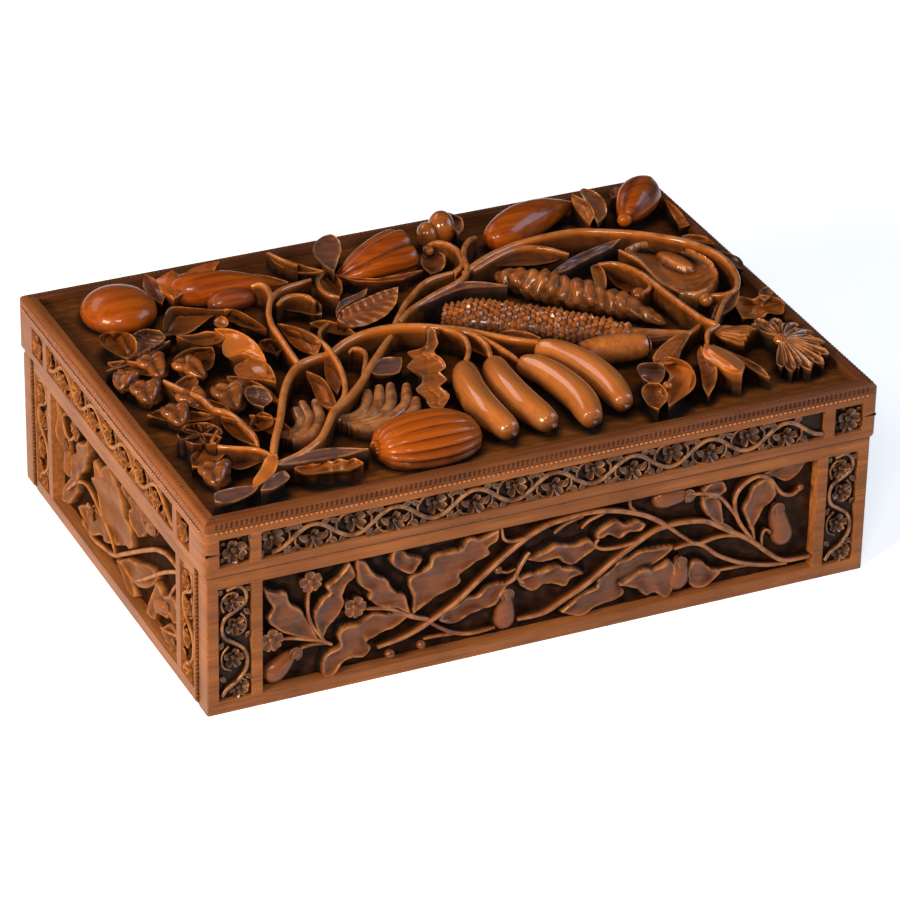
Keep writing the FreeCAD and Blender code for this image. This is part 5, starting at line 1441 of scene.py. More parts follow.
LID_LEAVES = [
    # Left, behind the buds
    ((-82, -4), (-91, 30.5), [(-80.5, 4), (-80, 13), (-81.5, 21), (-85, 27.5)], [(-86, 2), (-88, 6.5),
     (-96, 6), (-94, 15), (-90, 22)], 11.5, 12, dict(lean=-3.0, tone=0.95, hollow=0.3, rib=0.0, swell=0.3)),
    ((-85, 2), (-85, -22), [(-82.5, -6), (-83, -14)], [(-96, -4), (-97.5, -13), (-91, -17)], 9, 8.5,
     dict(lean=-4.0, tone=0.5)),
    ((-79, 45), (-113, 34), [(-84, 46), (-92, 51), (-101, 55.5), (-108, 46)], [(-88, 41), (-96, 35),
     (-104, 30.5)], 8.5, 6.5, dict(lean=-5.0, tone=0.35, hollow=1.6)),
    ((-80, 45), (-71, 22), [(-76, 42), (-73, 33)], [(-86, 41), (-82, 33), (-76, 24)], 9, 8.5,
     dict(lean=-4.0, tone=0.45, hollow=2.4)),
    ((-88, 31), (-84, 40), [(-89.5, 35), (-87, 39)], [(-85, 31), (-83, 36)], 8, 9, dict(tone=0.55,
     hollow=0.3)),
    ((-89, 25), (-108, 31), [(-95, 29.5), (-101, 29)], [(-92, 19), (-99, 17.5), (-104.5, 22)], 8.5, 8.5,
     dict(lean=3.0, tone=0.5, hollow=2.4)),
    ((-98, 16), (-113, -3), [(-100, 8), (-106, -2)], [(-108, 18), (-117, 12), (-118, 4)], 5, 4.5,
     dict(tone=0.5, hollow=1.6)),
    ((-133, 19), (-131, 44.5), [(-137, 24), (-140, 34), (-138.5, 42), (-135, 44.5)], [(-128, 25),
     (-125, 35), (-126, 41), (-129, 43)], 7, 9, dict(tone=0.6, hollow=2.4)),
    ((-131, 20), (-113, 38), [(-126, 29), (-125, 38), (-119, 41.5)], [(-124, 23), (-117, 27), (-113, 31)],
     7, 8.5, dict(tone=0.15, hollow=1.6, barbs=(9, 0.6))),
    ((-112, 28), (-146, 13.5), [(-120, 26.5), (-132, 20.5)], [(-120, 22), (-132, 16)], 7.5, 6.5,
     dict(lean=-3.0, tone=0.05)),
    ((-75, 0), (-75, 13.5), [(-79.5, 4), (-79.5, 10), (-77.5, 13)], [(-71, 3), (-70.5, 9), (-72.5, 13)], 8,
     9, dict(tone=0.3, hollow=2.4)),
    # Between the left stems
    ((-60, -7), (-65, 24.5), [(-54.5, 3), (-56.5, 13), (-60.5, 20.5)], [(-66, 0), (-66.5, 12)], 9.5, 10,
     dict(lean=-6.0, tone=0.5, hollow=1.6)),
    ((-60, 40), (-44, 26), [(-55, 45.5), (-48, 47), (-42.5, 42), (-41.5, 33)], [(-57, 34), (-52, 30),
     (-48, 26)], 7, 6, dict(lean=-4.0, tone=0.2, hollow=1.6)),
    ((-40, 19), (-4.5, 35.5), [(-35, 25), (-28, 29), (-20, 32), (-12, 34.5)], [(-38, 11), (-33, 8.5),
     (-27, 10), (-20, 13.5), (-14, 19), (-9.5, 25)], 9.5, 9.5, dict(tone=0.3, hollow=0.3, barbs=(9, 0.9))),
    ((-40, 20), (-17, 39.5), [(-37, 27), (-32, 33.5), (-25, 36)], [(-35, 26), (-28, 30.5), (-21, 33.5)],
     8.5, 8.5, dict(tone=0.1)),
    ((-32, 36), (-27, 62), [(-35, 43), (-36, 50), (-33, 57)], [(-28, 41), (-25, 50), (-25, 57)], 8.5, 9.5,
     dict(lean=-4.0, tone=0.35, hollow=2.4)),
    ((-28, 62), (-44, 87), [(-33, 68), (-39, 78)], [(-33, 62), (-40, 66), (-44, 76)], 6, 7.5,
     dict(lean=-3.0, tone=0.3, hollow=0.9)),
    ((-24, 59), (-11, 92.5), [(-26, 69), (-25.5, 79), (-21, 87.5), (-15, 92)], [(-19, 67), (-13, 77),
     (-10, 87)], 11, 14, dict(lean=-2.5, tone=0.2, hollow=0.3, rib=0.0, swell=0.3)),
    ((-71, -53), (-70, -18.5), [(-67.5, -40), (-66.5, -27)], [(-76, -46), (-73, -30)], 9.5, 10.5,
     dict(lean=-4.0, tone=0.5, hollow=1.6)),
    ((-56, -8), (-66, -42), [(-56, -20), (-60, -32)], [(-60, -14), (-66, -30)], 8, 8, dict(tone=0.35)),
    ((-46, -27), (-29, -23), [(-41, -23), (-35, -20.5)], [(-44, -33), (-36, -35), (-31, -28)], 10.5, 9.5,
     dict(tone=0.1, hollow=0.3)),
    ((-8, -1), (-31.5, -69.5), [(-6, -6), (-8, -12), (-10, -18), (-14.5, -24), (-14, -31), (-15.5, -38),
     (-19.5, -41), (-19.5, -48), (-24.5, -52), (-24, -60), (-28, -66)], [(-11, -9), (-14, -15), (-18, -19),
     (-25, -20), (-25, -26), (-30.5, -32), (-28, -40), (-30, -46), (-35, -51), (-34, -58), (-35.5, -65)],
     12, 9, dict(tone=0.6, hollow=0.3, swell=0.9)),
    ((-108, -78), (-127, -99), [(-110, -84), (-115, -92), (-122, -97)], [(-113, -79), (-119, -87),
     (-125, -94)], 10.5, 8.0, dict(hollow=-0.8, tone=0.9)),
    ((-112, -40), (-128, -20), [(-118, -37), (-125, -29)], [(-112, -32), (-119, -23)], 6.5, 6.0,
     dict(hollow=1.2, lean=-2.0, tone=0.6)),
    ((-102, -10), (-90, -38), [(-96, -14), (-91, -25)], [(-103, -20), (-99, -32)], 7.0, 6.0,
     dict(hollow=1.4, lean=2.5, tone=0.7)),
    ((-118, -40), (-144, -28), [(-125, -33), (-136, -26)], [(-126, -41), (-138, -36)], 5.5, 5.0,
     dict(hollow=1.2, tone=0.7)),
    ((-126, 2), (-143, 20), [(-133, 4), (-141, 12)], [(-128, 10), (-135, 18)], 6.0, 6.5, dict(hollow=1.2,
     lean=2.0, tone=0.65)),
    ((-114, -4), (-128, -18), [(-119, -4), (-127, -11)], [(-115, -11), (-121, -18)], 6.0, 6.0,
     dict(hollow=1.2, tone=0.6)),
    ((-124, -64), (-143, -74), [(-131, -61), (-140, -66)], [(-128, -71), (-137, -77)], 6.0, 5.5,
     dict(hollow=1.2, tone=0.6)),
    ((-98, -68), (-106, -44), [(-95, -60), (-98, -50)], [(-103, -64), (-107, -54)], 7.0, 7.0,
     dict(hollow=1.4, lean=-2.0, tone=0.7)),
    ((-52, 20), (-38, 4), [(-46, 20), (-40, 13)], [(-50, 12), (-44, 5)], 6.5, 6.0, dict(hollow=1.2,
     tone=0.6)),
    ((-46, 58), (-60, 70), [(-50, 64), (-56, 70)], [(-53, 57), (-60, 63)], 6.0, 6.0, dict(hollow=1.0,
     tone=0.6)),
    ((-2, -18), (14, -44), [(6, -22), (13, -34)], [(0, -28), (7, -39)], 6.5, 6.0, dict(hollow=1.2,
     tone=0.7)),
    ((16, -20), (32, -30), [(22, -18), (29, -23)], [(20, -27), (27, -32)], 7.0, 7.0, dict(hollow=1.0,
     tone=0.6)),
    # Right half
    ((-8, 15), (39.5, 19), [(2, 21.5), (12, 26), (20, 29), (29, 27)], [(4, 18.5), (14, 22), (22, 23.5),
     (30, 21.5)], 11, 9.5, dict(tone=0.1, hollow=0.3)),
    ((35, 40), (76, 34), [(46, 45.5), (58, 49), (68, 46)], [(46, 36), (56, 32), (66, 31)], 7, 6,
     dict(tone=0.2, hollow=1.6)),
    ((104, 40), (60.5, 21.5), [(95, 38), (86, 35.5), (77, 32), (68, 26.5)], [(96, 33.5), (87, 30), (78, 26),
     (69, 22)], 10.5, 10, dict(lean=-2.5, tone=0.05, hollow=0.3)),
    ((84.5, 22), (74, -4.5), [(83.5, 14), (79.5, 4)], [(80, 20.5), (76, 10), (73.5, 2)], 10.5, 9.5,
     dict(lean=3.0, tone=0.65, hollow=0.9)),
    ((86, 20), (93, -9), [(94, 17), (97, 6), (97, -3)], [(83, 10), (82, 0), (86, -8)], 5, 5, dict(tone=0.5,
     hollow=1.6)),
    ((106, -42), (131, -21), [(113, -33), (122, -25)], [(113, -40), (122, -35)], 9.5, 8.5, dict(tone=0.05,
     hollow=0.9)),
    ((119, -46), (141.5, -42), [(121, -36), (126, -28), (131, -33), (136, -31), (141, -36)], [(126, -50),
     (131, -47), (136, -50)], 7, 8, dict(tone=0.5, hollow=1.6, swell=0.6)),
    ((135, -36), (142.5, -25), [(135, -30), (139, -26)], [(139, -34), (142, -30)], 8, 9.5, dict(tone=0.1)),
    ((138, 14), (143, -1), [(141.5, 9), (143.5, 4)], [(137, 4), (139.5, -6)], 8, 8.5, dict(tone=0.15)),
    ((130, 32), (140, 20), [(134, 32), (139, 28)], [(131, 27), (136, 22)], 8, 8, dict(tone=0.4)),
    ((98, 58), (103.5, 88), [(98, 68), (100, 80)], [(104, 66), (106.5, 78)], 8, 12, dict(tone=0.4,
     hollow=0.3, lean=3.0)),
    ((102, 58), (111, 91), [(103, 68), (106, 80), (108, 89)], [(109, 64), (114, 76), (114, 86)], 8, 13,
     dict(tone=0.3, hollow=0.3, lean=-3.0)),
    ((41, 72), (45, 92), [(41, 80), (42, 88)], [(45, 76), (48, 85)], 10, 13, dict(tone=0.1)),
    ((14, 42), (24, 62), [(13, 50), (18, 60)], [(20, 43), (26, 54)], 5, 6, dict(tone=0.25)),
    # Front left corner
    ((-112.5, -69), (-117, -40.5), [(-118, -60), (-119.5, -50)], [(-110, -61), (-110.5, -52), (-113, -45)],
     8.5, 9, dict(lean=3.0, tone=0.55, hollow=2.4)),
    ((-110.5, -55), (-100, -43.5), [(-108, -50), (-104, -45.5)], [(-107, -58), (-101, -56), (-98, -49)], 8,
     8, dict(tone=0.4, hollow=2.4)),
    ((-98, -40), (-95, -21.5), [(-102, -34), (-100, -24)], [(-92.5, -36), (-91.5, -26)], 7, 8.5,
     dict(tone=0.1)),
    ((-111, -79), (-131, -75), [(-118, -68), (-126, -67)], [(-117, -82), (-127, -84)], 5, 4.5,
     dict(tone=0.3, hollow=1.6)),
    ((-124, -98.5), (-145, -103), [(-132, -96.5), (-142, -97)], [(-130, -104), (-140, -107)], 8, 8,
     dict(tone=0.05, hollow=0.3)),
    ((-125, -102), (-110.5, -91.5), [(-121, -97), (-115, -92.5)], [(-119, -103), (-111, -98)], 8, 9,
     dict(tone=0.05, hollow=0.3)),
    ((-111, -86), (-72.5, -88.5), [(-104, -83), (-95, -81), (-86, -82), (-79, -85)], [(-104, -88),
     (-95, -89), (-85, -90), (-79, -89.5)], 10, 9.5, dict(tone=0.05, hollow=0.3)),
    ((-106, -91), (-79, -98), [(-100, -90), (-96, -92), (-93, -90), (-90, -92.5), (-87, -91), (-84, -94),
     (-81, -93)], [(-104, -97), (-98, -99), (-92, -100), (-85, -101)], 7.5, 8, dict(tone=0.45, swell=0.5)),
]
TRUMPET_LEAVES = [
    ((94, -48), (66, -68), [(85, -50), (75, -56), (68, -63)], [(90, -53), (82, -62), (75, -70)], 7.5, 8.5,
     dict(hollow=-2.0, tone=0.45, flutes=(4, 0.4))),
    ((72, -63), (55, -103), [(78.5, -72), (77, -84), (71, -94), (62, -100)], [(68, -72), (67, -80),
     (61, -88), (57, -97)], 10, 7, dict(hollow=1.6, lean=-4.0, swell=1.0, tone=0.8)),
    ((69, -71), (56, -78), [(66, -67.5), (60, -66.5), (56.5, -71)], [(66, -78), (61, -84), (57, -83)], 9.5,
     9.5, dict(hollow=1.2, lean=-2.5, swell=0.7, tone=0.15)),
    ((60, -84), (50, -104), [(55, -83), (50, -88), (47.5, -98)], [(60, -90), (57, -98)], 8.5, 6.5,
     dict(hollow=1.4, swell=0.7, tone=0.5)),
]
BELL_LEAVES = [
    ((93, -61), (95.5, -90.5), [(97.5, -66), (100, -75), (100, -84)], [(88, -70), (89.5, -79), (91, -86)],
     10.5, 10.5, dict(hollow=-1.5, rib=-0.4, tone=0.95)),
    ((91, -62), (74, -102), [(90, -72), (88, -82), (82, -93)], [(86, -68), (80, -83), (75, -95)], 9, 5.5,
     dict(hollow=0.6, lean=-2.5, tone=0.5)),
    ((96, -63), (104.5, -98), [(102, -76), (105.5, -88)], [(99, -72), (100.5, -86), (102, -93)], 9, 6,
     dict(hollow=0.6, tone=0.35)),
]


def finger_fruit():
    """Five long smooth fruits in a hand."""
    # A large full height gives the lower flanks low depth values: painted shade on them.
    work = Carving(on_lid, 19.5)
    hands = [
        [(-4, -31, 6.2), (-8, -42, 6.6), (-11, -56, 6.6), (-11.5, -72, 6.4), (-8.5, -88, 5.6)],
        [(9, -32, 6.2), (6, -42, 6.6), (4.5, -56, 6.8), (5.5, -72, 6.4), (9.5, -88, 5.6)],
        [(19, -37, 6.4), (24, -48, 7.0), (27, -62, 7.0), (28, -77, 6.6), (26, -92, 5.6)],
        [(31, -28, 6.6), (37, -38, 7.2), (42, -52, 7.2), (44.5, -68, 6.6), (44, -85, 5.6)],
    ]
    for path in hands:
        fruit(work, path, [5.6, 6.3, 6.8, 6.7, 5.6], power=5.0, tone=0.75,
              ridge=lambda t, a: 1 + 0.012 * math.cos(5 * a))
        end = path[-1]
        ball(work, (end[0], end[1] - 1.2, end[2] + 0.3), (1.3, 1.6, 1.3), tone=0.1, around=12, rings=8)
    short = [(45, -38.5, 6.2), (54, -40, 6.4), (64, -41.5, 6.6), (75, -43, 6.6)]
    fruit(work, short, [5.0, 6.2, 6.3, 5.6], power=9.0, tone=0.65)
    ball(work, (75.6, -43.1, 6.6), (0.8, 4.2, 4.2), yaw=-7, tone=0.2)
    work.fruit_piece("finger_fruit", "carved_finger_fruit", finger_painted_light_wood)


def melon():
    """Ribbed melon with its stalk end to the left."""
    # A large full height gives the lower flanks low depth values: painted shade on them.
    work = Carving(on_lid, 15.0)

    def ribs(t, angle):
        ends = math.sin(math.pi * min(max(t, 0.02), 0.98)) ** 0.4
        return 1 - 0.14 * (1 - abs(math.sin(7.5 * angle + 0.4)) ** 0.6) * ends

    start, end = (-66, -79.5, 5.0), (-20, -79, 4.6)
    shares = [0.5 - 0.5 * math.cos(math.pi * i / 8) for i in range(9)]
    path = [tuple(a + (b - a) * t for a, b in zip(start, end)) for t in shares]
    fruit(work, path, [16.8] * 9, around=150, step=0.8, flat=0.66, power=2.3, ridge=ribs, tone=0.8)
    for k in range(7):
        angle = math.radians(-80 + 27 * k)
        spot = (-65.0, -79.5 + 3.0 * math.sin(angle), 5.5 + 3.2 * math.cos(angle))
        ball(work, spot, (2.2, 1.1, 1.1), tone=0.5, around=10, rings=6)
    work.fruit_piece("ribbed_melon", "carved_melon")


def round_fruit():
    """Plain round fruit at the back left."""
    work = Carving(on_lid)
    ball(work, (-117.5, 75, 4.5), (16.4, 16.6, 9.6), tone=0.7, around=64, rings=32)
    work.fruit_piece("round_fruit", "carved_round_fruit")


def left_aubergine():
    """Tapering fruit beside the round one, with the leaves at its stalk."""
    work = Carving(on_lid)
    path = [(-93, 81, 5), (-88, 80, 5.4), (-78, 78, 5.6), (-66, 76, 5.4), (-54, 73, 4.6), (-42, 69, 3.4)]
    fruit(work, path, [6.5, 7.8, 8.0, 6.8, 4.6, 2.4], power=4.0, tone=0.5)
    fruit(work, [(-80, 66, 2.5), (-70, 67, 3.5), (-58, 66, 3.0)], [4.6, 5.6, 4.2], power=3.0, tone=0.3)
    work.seen = True
    cut_leaf(work, (-103, 60), (-100, 89), [(-106, 68), (-105, 78)], [(-98, 68), (-97, 80)], 6, 9, tone=0.2)
    cut_leaf(work, (-97, 62), (-88, 87), [(-100, 70), (-97, 82)], [(-90, 66), (-85, 78)], 8, 12, tone=0.7,
             cup=-0.1)
    cut_leaf(work, (-84, 82), (-66, 87), [(-80, 85), (-73, 87)], [(-80, 80), (-72, 79)], 13, 13.5, tone=0.75,
             cup=-0.05)
    work.fruit_piece("left_aubergine", "carved_left_aubergine")


def right_aubergine():
    """Tapering fruit at the back right."""
    work = Carving(on_lid)
    path = [(54, 70, 5.0), (61, 73, 6.4), (73, 78.5, 7.4), (85, 83, 7.4), (95, 86.5, 6.8), (105, 90, 6.0)]
    fruit(work, path, [6.0, 8.0, 8.8, 7.6, 5.0, 1.8], power=4.5, tone=0.55)
    work.fruit_piece("right_aubergine", "carved_right_aubergine")


def corner_fruit():
    """Lobed fruit in the back right corner."""
    work = Carving(on_lid)
    path = [(119, 66, 6.5), (123, 70, 7.4), (130, 77, 8.6), (137, 84, 8.6), (142, 89, 6.6)]
    fruit(work, path, [4.0, 7.0, 9.4, 8.8, 5.5], power=3.4, tone=0.45,
          ridge=lambda t, a: 1 - 0.07 * abs(math.sin(2.5 * a)))
    ball(work, (118.6, 65.6, 6.8), (3.4, 3.0, 3.2), tone=0.8)
    work.seen = True
    cut_leaf(work, (133, 40), (140, 70), [(135, 50), (138, 62)], [(138, 40), (140.5, 55)], 5, 8, tone=0.5)
    cut_leaf(work, (118, 78), (127, 85), [(120, 83), (124, 86)], [(121, 78), (126, 82)], 8, 9, tone=0.2)
    work.fruit_piece("corner_fruit", "carved_corner_fruit")


def star_fruit():
    """Fruit with sharp blades in the middle of the back."""
    work = Carving(on_lid)

    def blades(t, angle):
        return 1 - 0.2 * (1 - abs(math.sin(3.0 * angle + 0.5)) ** 0.7)

    path = [(-20, 66, 4), (-11, 67.5, 5.0), (-1, 69.5, 6.0), (8, 71.5, 6.6), (15, 73, 6.8)]
    fruit(work, path, [2.5, 7.5, 10.8, 12.4, 12.8], around=90, power=12.0, ridge=blades, tone=0.5)
    work.seen = True
    cut_leaf(work, (-25, 57), (12, 46), [(-18, 51), (-10, 46), (0, 46)], [(-19, 48), (-10, 43), (0, 41)], 7,
             6, tone=0.35, cup=0.2)
    work.fruit_piece("star_fruit", "carved_star_fruit")


def arch_pod():
    """Open pod at the right, under the long vine."""
    work = Relief((92, -30), (144, 48), 0.5, seen=True)
    work.leaf((101, 31), (112, -18), [(103, 20), (102, 9), (102, -4), (105, -14)],
              [(114, 34), (126, 25), (132, 9), (129, -5), (121, -14)], 9.0, 9.0, hollow=5.6, rib=0.0,
              swell=0.5, tone=0.55, rim=0.6)
    work.dome((117, 12), (5.5, 12), 3.0, 7.5, yaw=12, tone=0.8)
    work.piece("arch_pod", on_lid, *work.carved(2.2, 3.2, 0.3), carved_wood, "lid", ("carved_pod",),
               "polished_fruit_wood", islands=True)


COB_START = (9, 16)
COB_END = (73, -28.5)
COB_RADIUS = 8.8
COB_ACROSS = (0.575, 0.818)
KERNEL_ROWS = 30
KERNELS_AROUND = 17
KERNEL_RADIUS = 1.75
KERNEL_SEED = 3


def cob_rings():
    """Rings of the maize cob, each turned half a kernel from the last."""
    rings = []
    for i in range(KERNEL_ROWS + 1):
        t = i / KERNEL_ROWS
        u, v = (a + (b - a) * t for a, b in zip(COB_START, COB_END))
        v += 2.0 * math.sin(math.pi * t)
        r = COB_RADIUS * (1 - 0.40 * t ** 2.2) * min(1.0, 0.6 + 3.2 * t)
        ring = []
        for k in range(KERNELS_AROUND):
            angle = 2 * math.pi * (k + 0.5 * (i % 2)) / KERNELS_AROUND
            side = math.cos(angle) * r
            top = 3.2 + math.sin(angle) * r * 0.95
            ring.append((u + COB_ACROSS[0] * side, v + COB_ACROSS[1] * side, top))
        rings.append(ring)
    return rings


def maize_cob():
    """Cob covered in kernels, with a husk running to the stalk."""
    rings = cob_rings()
    core = Carving(on_lid)
    core.rows(rings)
    mesh = bpy.data.meshes.new("cob_core")
    mesh.from_pydata(core.points, [], core.faces)
    turn_outward(mesh)
    work = bmesh.new()
    work.from_mesh(mesh)
    buried = [v for v in work.verts if v.co.z < (LID_GROUND + 0.5) * MM]
    bmesh.ops.delete(work, geom=buried, context="VERTS")
    work.to_mesh(mesh)
    work.free()
    tree, keys = kernel_tree()
    values = {"Kernel Radius": KERNEL_RADIUS * MM, "Seed": KERNEL_SEED, "Finish": carved_wood}
    kernels = grown(mesh, tree, {keys[label]: value for label, value in values.items()})
    # Lower kernels get lower depth values: painted shade on the cob's flanks.
    heights = [max(0.0, min(1.0, (v.co.z / MM - LID_GROUND) / 13.0)) for v in kernels.vertices]
    add_values(kernels, 0.42, heights, 0.12)
    finish_mesh("cob_kernels", kernels, carved_wood, "lid", ("carved_maize_cob",), sharp=20.0, recalc=False)

    husk = Carving(on_lid)
    husk.rows(rings, 0.0)
    for k in range(9):
        shift = (k - 4) * 1.35
        lift = 8.0 - 0.22 * (k - 4) ** 2
        path = [(68 + COB_ACROSS[0] * shift, -26 + COB_ACROSS[1] * shift, lift),
                (83 + 0.3 * shift, -32.5 + 0.45 * shift, 0.9 * lift), (101, -40, 6.5)]
        stem(husk, path, 2.0, lift, tone=0.35, step=2.0, end=0.3)
    husk.piece("cob_husk")


def ridged_gourd():
    """Gourd with slanting ridges and a wavy back."""
    # A large full height gives the lower flanks low depth values: painted shade on them.
    work = Carving(on_lid, 16.0)

    def ridges(t, angle):
        swirl = 2 * math.pi * 15 * t + 1.4 * angle + 1.1 * math.sin(2 * angle + 7 * t)
        swirl += 0.8 * math.sin(19 * t)
        lumps = 0.05 * math.sin(5 * angle + 31 * t) + 0.06 * math.sin(9 * t * math.pi)
        return 0.90 + 0.20 * abs(math.sin(swirl / 2)) ** 1.1 + lumps

    path = [(44, 42, 5.0), (51, 32, 5.6), (62, 19, 5.6), (74, 5, 5.2), (85, -8, 4.8), (94, -24, 3.5)]
    fruit(work, path, [4.2, 6.6, 7.0, 6.4, 5.2, 2.4], around=64, step=0.4, power=3.0, ridge=ridges, tone=0.4,
          wear=0.15)
    work.piece("ridged_gourd", "carved_ridged_gourd")


def lid_vines():
    """Main and side stems of the lid, drawn as they are seen."""
    work = Carving(on_lid, 11.0, seen=True)
    for path, width in MAIN_VINES:
        tone = 0.85 if path[0][0] < -60 else 0.66
        stem(work, path, 0.88 * width, 11.5, tone=tone, end=0.7, web=0.7)
    for path, width in SIDE_VINES:
        stem(work, path, 0.92 * width, 10.0, tone=0.66, start=0.8, end=0.6, web=0.7)
    work.piece("lid_vines", "carved_vines")


def lid_leaves():
    """Leaves between the vines, each cut to the edges that are seen."""
    work = Carving(on_lid, 7.0, seen=True)
    for *shape, values in LID_LEAVES:
        shell(work, *shape, **values)
    work.piece("lid_leaves", "carved_leaves", sharp=60.0)


def trumpet_flower():
    """Flower at the right front with a long tube and a wide curling mouth."""
    work = Carving(on_lid, 9.0, seen=True)
    for *shape, values in TRUMPET_LEAVES:
        shell(work, *shape, **values)
    ball(work, work.spot(62, -88, 7.5), (2.2, 2.2, 2.0), tone=0.4)
    work.piece("trumpet_flower", "carved_trumpet_flower", sharp=60.0)


def bell_flower():
    """Narrow hanging flower beside the trumpet."""
    work = Carving(on_lid, 9.0, seen=True)
    for *shape, values in BELL_LEAVES:
        shell(work, *shape, **values)
    work.piece("bell_flower", "carved_bell_flower", sharp=60.0)


def daisy():
    """Flower at the right front corner, seen from the side, with a sheaf of leaves above it."""
    work = Carving(on_lid, 9.0)
    for k in range(7):
        spread = (k - 3) * 2.6
        petal(work, (106 + 0.1 * spread, -41), (119 + 0.75 * spread, -54 + 0.6 * spread), 5.0, 7.0,
              9.5 - 0.05 * spread ** 2, tone=0.5, hollow=-0.8)
    u, v = 128, -64
    for i in range(19):
        angle = math.radians(100 - 12.5 * i)
        reach = 22.5 if i % 2 else 19.5
        tip = (u + reach * 0.82 * math.cos(angle), v + reach * 1.1 * math.sin(angle))
        petal(work, (u + 3 * math.cos(angle), v + 3 * math.sin(angle)), tip, 4.6, 9.0, 6.0, belly=0.75,
              point=1.0, tone=0.2, hollow=1.0, rim=0.5, swell=0.1)
    ball(work, (u, v, 8.6), (3.4, 3.4, 2.2), tone=0.5, ridge=lambda a: 1 + 0.1 * math.cos(9 * a))
    work.piece("daisy", "carved_daisy", sharp=60.0)


def bud(work, root, tip, width, high, tone):
    """Swollen bud, two rounded lobes and two small tongues curling out of its end, drawn as it is seen."""
    du, dv = tip[0] - root[0], tip[1] - root[1]
    yaw = math.atan2(dv, du)
    half = width / 2
    line = [work.spot(root[0] + du * t, root[1] + dv * t, high - 0.85 * half) for t in (0.0, 0.35, 0.65, 0.9)]
    fruit(work, line, [0.5 * half, 0.9 * half, 0.85 * half, 0.5 * half], around=24, step=0.7, power=3.0,
          tone=tone, ridge=lambda t, a: 1 + 0.12 * math.cos(4 * a + 0.5 + 3 * t))
    for turn, sizes, reach in ((-0.62, (0.6, 0.66, 0.58, 0.38), 0.66), (0.62, (0.55, 0.6, 0.54, 0.36), 0.6),
                               (0.1, (0.3, 0.3, 0.24, 0.12), 0.9), (-0.15, (0.3, 0.3, 0.24, 0.12), 0.82)):
        angle = yaw + turn
        lobe = []
        for share, lift in ((0.0, -1.0), (0.35, -0.6), (0.7, -0.42), (1.0, -0.8)):
            far = share * reach * width
            u = root[0] + 0.55 * du + far * math.cos(angle)
            v = root[1] + 0.55 * dv + far * math.sin(angle)
            lobe.append(work.spot(u, v, high + lift * half))
        fruit(work, lobe, [size * half for size in sizes], around=24, step=0.6, power=2.4,
              tone=tone + 0.3 * turn, ridge=lambda t, a: 1 + 0.12 * math.cos(3 * a + 6 * t))
    foot = work.spot(root[0] + 0.5 * du, root[1] + 0.5 * dv, 0.5 * high)
    ball(work, (foot[0], foot[1], 0.4 * high), (0.45 * width, 0.35 * width, 0.45 * high),
         yaw=math.degrees(yaw), tone=0.1, around=16, rings=8)


def buds_and_blooms():
    """Buds along the left side, and an open flower among them."""
    # A large full height gives the lower parts low depth values: painted shade on them.
    work = Carving(on_lid, 13.0, seen=True)
    for root, tip, width, high, tone in (
            ((-127, -1), (-126, 19), 10, 10.0, 0.55), ((-146, -5), (-139, 8), 9, 9.0, 0.5),
            ((-139, -20), (-136, -4), 11, 9.5, 0.5), ((-111, -8), (-116, 12), 9, 10.0, 0.5),
            ((-121, -32), (-123, -17), 10, 9.5, 0.55), ((-134, -42), (-132, -26), 10, 9.5, 0.45),
            ((-139, -93), (-135, -77), 11, 9.0, 0.5), ((-109, -39), (-106, -17), 12, 9.5, 0.5)):
        bud(work, root, tip, 1.15 * width, high, tone)
    for k, tip in enumerate(((-139, -48), (-133, -42), (-125, -43), (-121, -50), (-127, -60), (-136, -57))):
        petal(work, (-130, -51), tip, 8.5, 6.5, 10.5, belly=0.72, point=1.0, tone=(0.15, 0.4, 0.25)[k % 3],
              hollow=1.8, rim=0.6, under=0.8)
    work.piece("buds_and_blooms", "carved_buds", sharp=60.0)


def fingered_leaf(work, fingers, width):
    """Leaf cut into round fingers that sweep up side by side."""
    high = 8.0
    for i, path in enumerate(fingers):
        lifted = [(u, v, high - 1.6 + 2.0 * k / (len(path) - 1)) for k, (u, v) in enumerate(path)]
        stem(work, lifted, width, high, tone=0.2 + 0.1 * (i % 2), start=0.7, end=0.7, step=1.2, web=0.92)


def fingered_leaves_and_berries():
    """Two fingered leaves beside the melon, and the berries about the lid."""
    work = Carving(on_lid, 10.0, seen=True)
    fingered_leaf(work, [[(-74, -59), (-66, -59), (-59, -54), (-53, -43)],
                         [(-73, -62), (-63, -62), (-54, -55), (-47, -41)],
                         [(-72, -65), (-60, -65), (-49, -56), (-42, -41)],
                         [(-71, -68), (-57, -67), (-43, -58), (-36, -44)],
                         [(-69, -70), (-54, -70), (-42, -64), (-37, -56)]], 5.4)
    fingered_leaf(work, [[(-100, -63), (-93, -61), (-88, -55), (-86, -45)],
                         [(-99, -66), (-91, -64), (-84, -54), (-81.5, -41)],
                         [(-98, -69), (-89, -67), (-80, -56), (-76, -42)]], 5.2)
    for centre, size, tone in (
            ((38.5, 86, 8.5), (6.2, 7.0, 8.2), 0.55), ((30.5, 84, 7.5), (4.6, 5.2, 6.0), 0.7),
            ((92, -1, 6.5), (3.6, 3.6, 3.4), 0.5), ((116, -18, 7.5), (3.0, 3.0, 3.0), 0.6),
            ((24.5, 69, 8.5), (2.4, 2.8, 2.2), 0.6)):
        ball(work, centre, size, tone=tone)
    work.piece("fingered_leaves_and_berries")


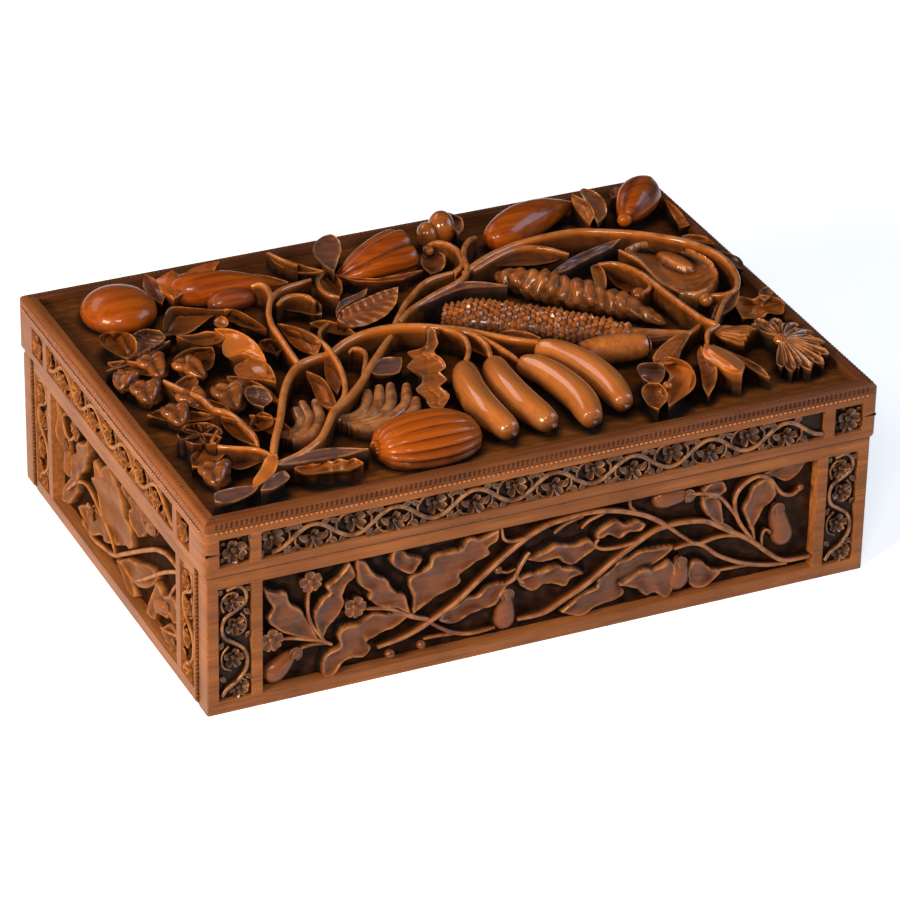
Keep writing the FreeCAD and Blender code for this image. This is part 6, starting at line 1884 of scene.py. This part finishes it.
def lid_ground():
    """Tooled ground between the carvings, with painted shade close beside them."""
    ground = Relief((-144.9, -100.1), (144.9, 100.1), 1.0, ground=0.35)
    near = np.zeros(ground.count)
    for thing in PIECES:
        spots = np.empty(3 * len(thing.data.vertices))
        thing.data.vertices.foreach_get("co", spots)
        spots = spots.reshape(-1, 3) / MM
        spots = spots[spots[:, 2] > LID_GROUND + 1.0]
        i, j, inside = ground.cells(spots[:, 0], spots[:, 1] - LID_SHIFT)
        near[i[inside], j[inside]] = 1.0
    # The depth value drops close to the carvings: painted shade beside them.
    depth = np.clip(1.1 - 1.25 * softened(highest(near, 1), 2), 0.0, 1.0)
    fields = (ground.tone, depth, 0 * depth)
    ground.piece("lid_ground_tooling", on_lid, ground.high, fields, tooled_ground, "lid", (), "ground_wood")


finger_fruit()
melon()
round_fruit()
left_aubergine()
right_aubergine()
corner_fruit()
star_fruit()
arch_pod()
maize_cob()
ridged_gourd()
lid_vines()
lid_leaves()
trumpet_flower()
bell_flower()
daisy()
buds_and_blooms()
fingered_leaves_and_berries()
lid_ground()


# Stage, light and camera

FLOOR_SIZE = 60.0
FLOOR_DROP = 0.0002
FLOOR_GLOW = 0.55
SENSOR_WIDTH = 36.0
AIM = (0, 0, 0.05)
LAMPS = (
    ("left_window", (-1.52, -0.72, 0.68), (0.6, 0.6), 38.0, (1.0, 0.84, 0.55)),
    ("front_fill", (-0.75, -1.45, 1.25), (0.5, 0.4), 13.0, (1.0, 0.92, 0.84)),
    ("right_cool", (1.30, -0.55, 0.80), (1.0, 0.8), 13.0, (0.52, 0.72, 1.0)),
    ("back_window", (-0.75, 1.15, 1.15), (1.2, 0.5), 5.2, (1.0, 0.95, 0.90)),
)


def pale_floor():
    """Floor that looks pale but sheds little light on the box."""
    bpy.ops.mesh.primitive_plane_add(size=FLOOR_SIZE, location=(0, 0, -FLOOR_DROP))
    floor = bpy.context.active_object
    floor.name = "floor"
    paper = bpy.data.materials.new("pale_floor")
    paper.use_nodes = True
    tree = paper.node_tree
    shader = tree.nodes["Principled BSDF"].inputs
    rays = tree.nodes.new("ShaderNodeLightPath").outputs
    seen = math_node(tree, "MAXIMUM", rays["Is Camera Ray"], rays["Is Glossy Ray"])
    seen = math_node(tree, "MAXIMUM", seen, rays["Is Transmission Ray"])
    feed(tree, shader["Roughness"], 0.9)
    feed(tree, shader["Base Color"], mix_colour(tree, seen, (0.30, 0.28, 0.26, 1), (0.93, 0.93, 0.93, 1)))
    feed(tree, shader["Emission Color"], (1, 1, 1, 1))
    feed(tree, shader["Emission Strength"], math_node(tree, "MULTIPLY", seen, FLOOR_GLOW))
    floor.data.materials.append(paper)


def lamp(name, place, size, energy, colour):
    """Rectangular light turned to the box."""
    light = bpy.data.lights.new(name, "AREA")
    light.shape = "RECTANGLE"
    light.size, light.size_y = size
    light.energy = energy
    light.color = colour
    thing = bpy.data.objects.new(name, light)
    bpy.context.scene.collection.objects.link(thing)
    thing.location = place
    thing.rotation_euler = (Vector(AIM) - Vector(place)).to_track_quat("-Z", "Y").to_euler()


def viewpoint():
    """Camera where the photograph was taken."""
    right, back = Vector(SIGHT_RIGHT), Vector(SIGHT_BACK)
    turn = Matrix((right, back.cross(right), back)).transposed()
    lens = bpy.data.cameras.new("viewpoint")
    lens.sensor_width = SENSOR_WIDTH
    lens.lens = FOCAL_PIXELS / PHOTO_PIXELS * SENSOR_WIDTH
    lens.clip_end = 50.0
    camera = bpy.data.objects.new("viewpoint", lens)
    bpy.context.scene.collection.objects.link(camera)
    camera.matrix_world = Matrix.Translation(Vector(SIGHT_EYE) * MM) @ turn.to_4x4()
    bpy.context.scene.camera = camera


def studio():
    """Faint light from all round."""
    room = bpy.data.worlds.new("studio")
    room.use_nodes = True
    back = room.node_tree.nodes["Background"].inputs
    back["Strength"].default_value = 0.05
    back["Color"].default_value = (0.93, 0.96, 1, 1)
    bpy.context.scene.world = room


bpy.context.scene.view_settings.view_transform = "Standard"
pale_floor()
studio()
for values in LAMPS:
    lamp(*values)
viewpoint()
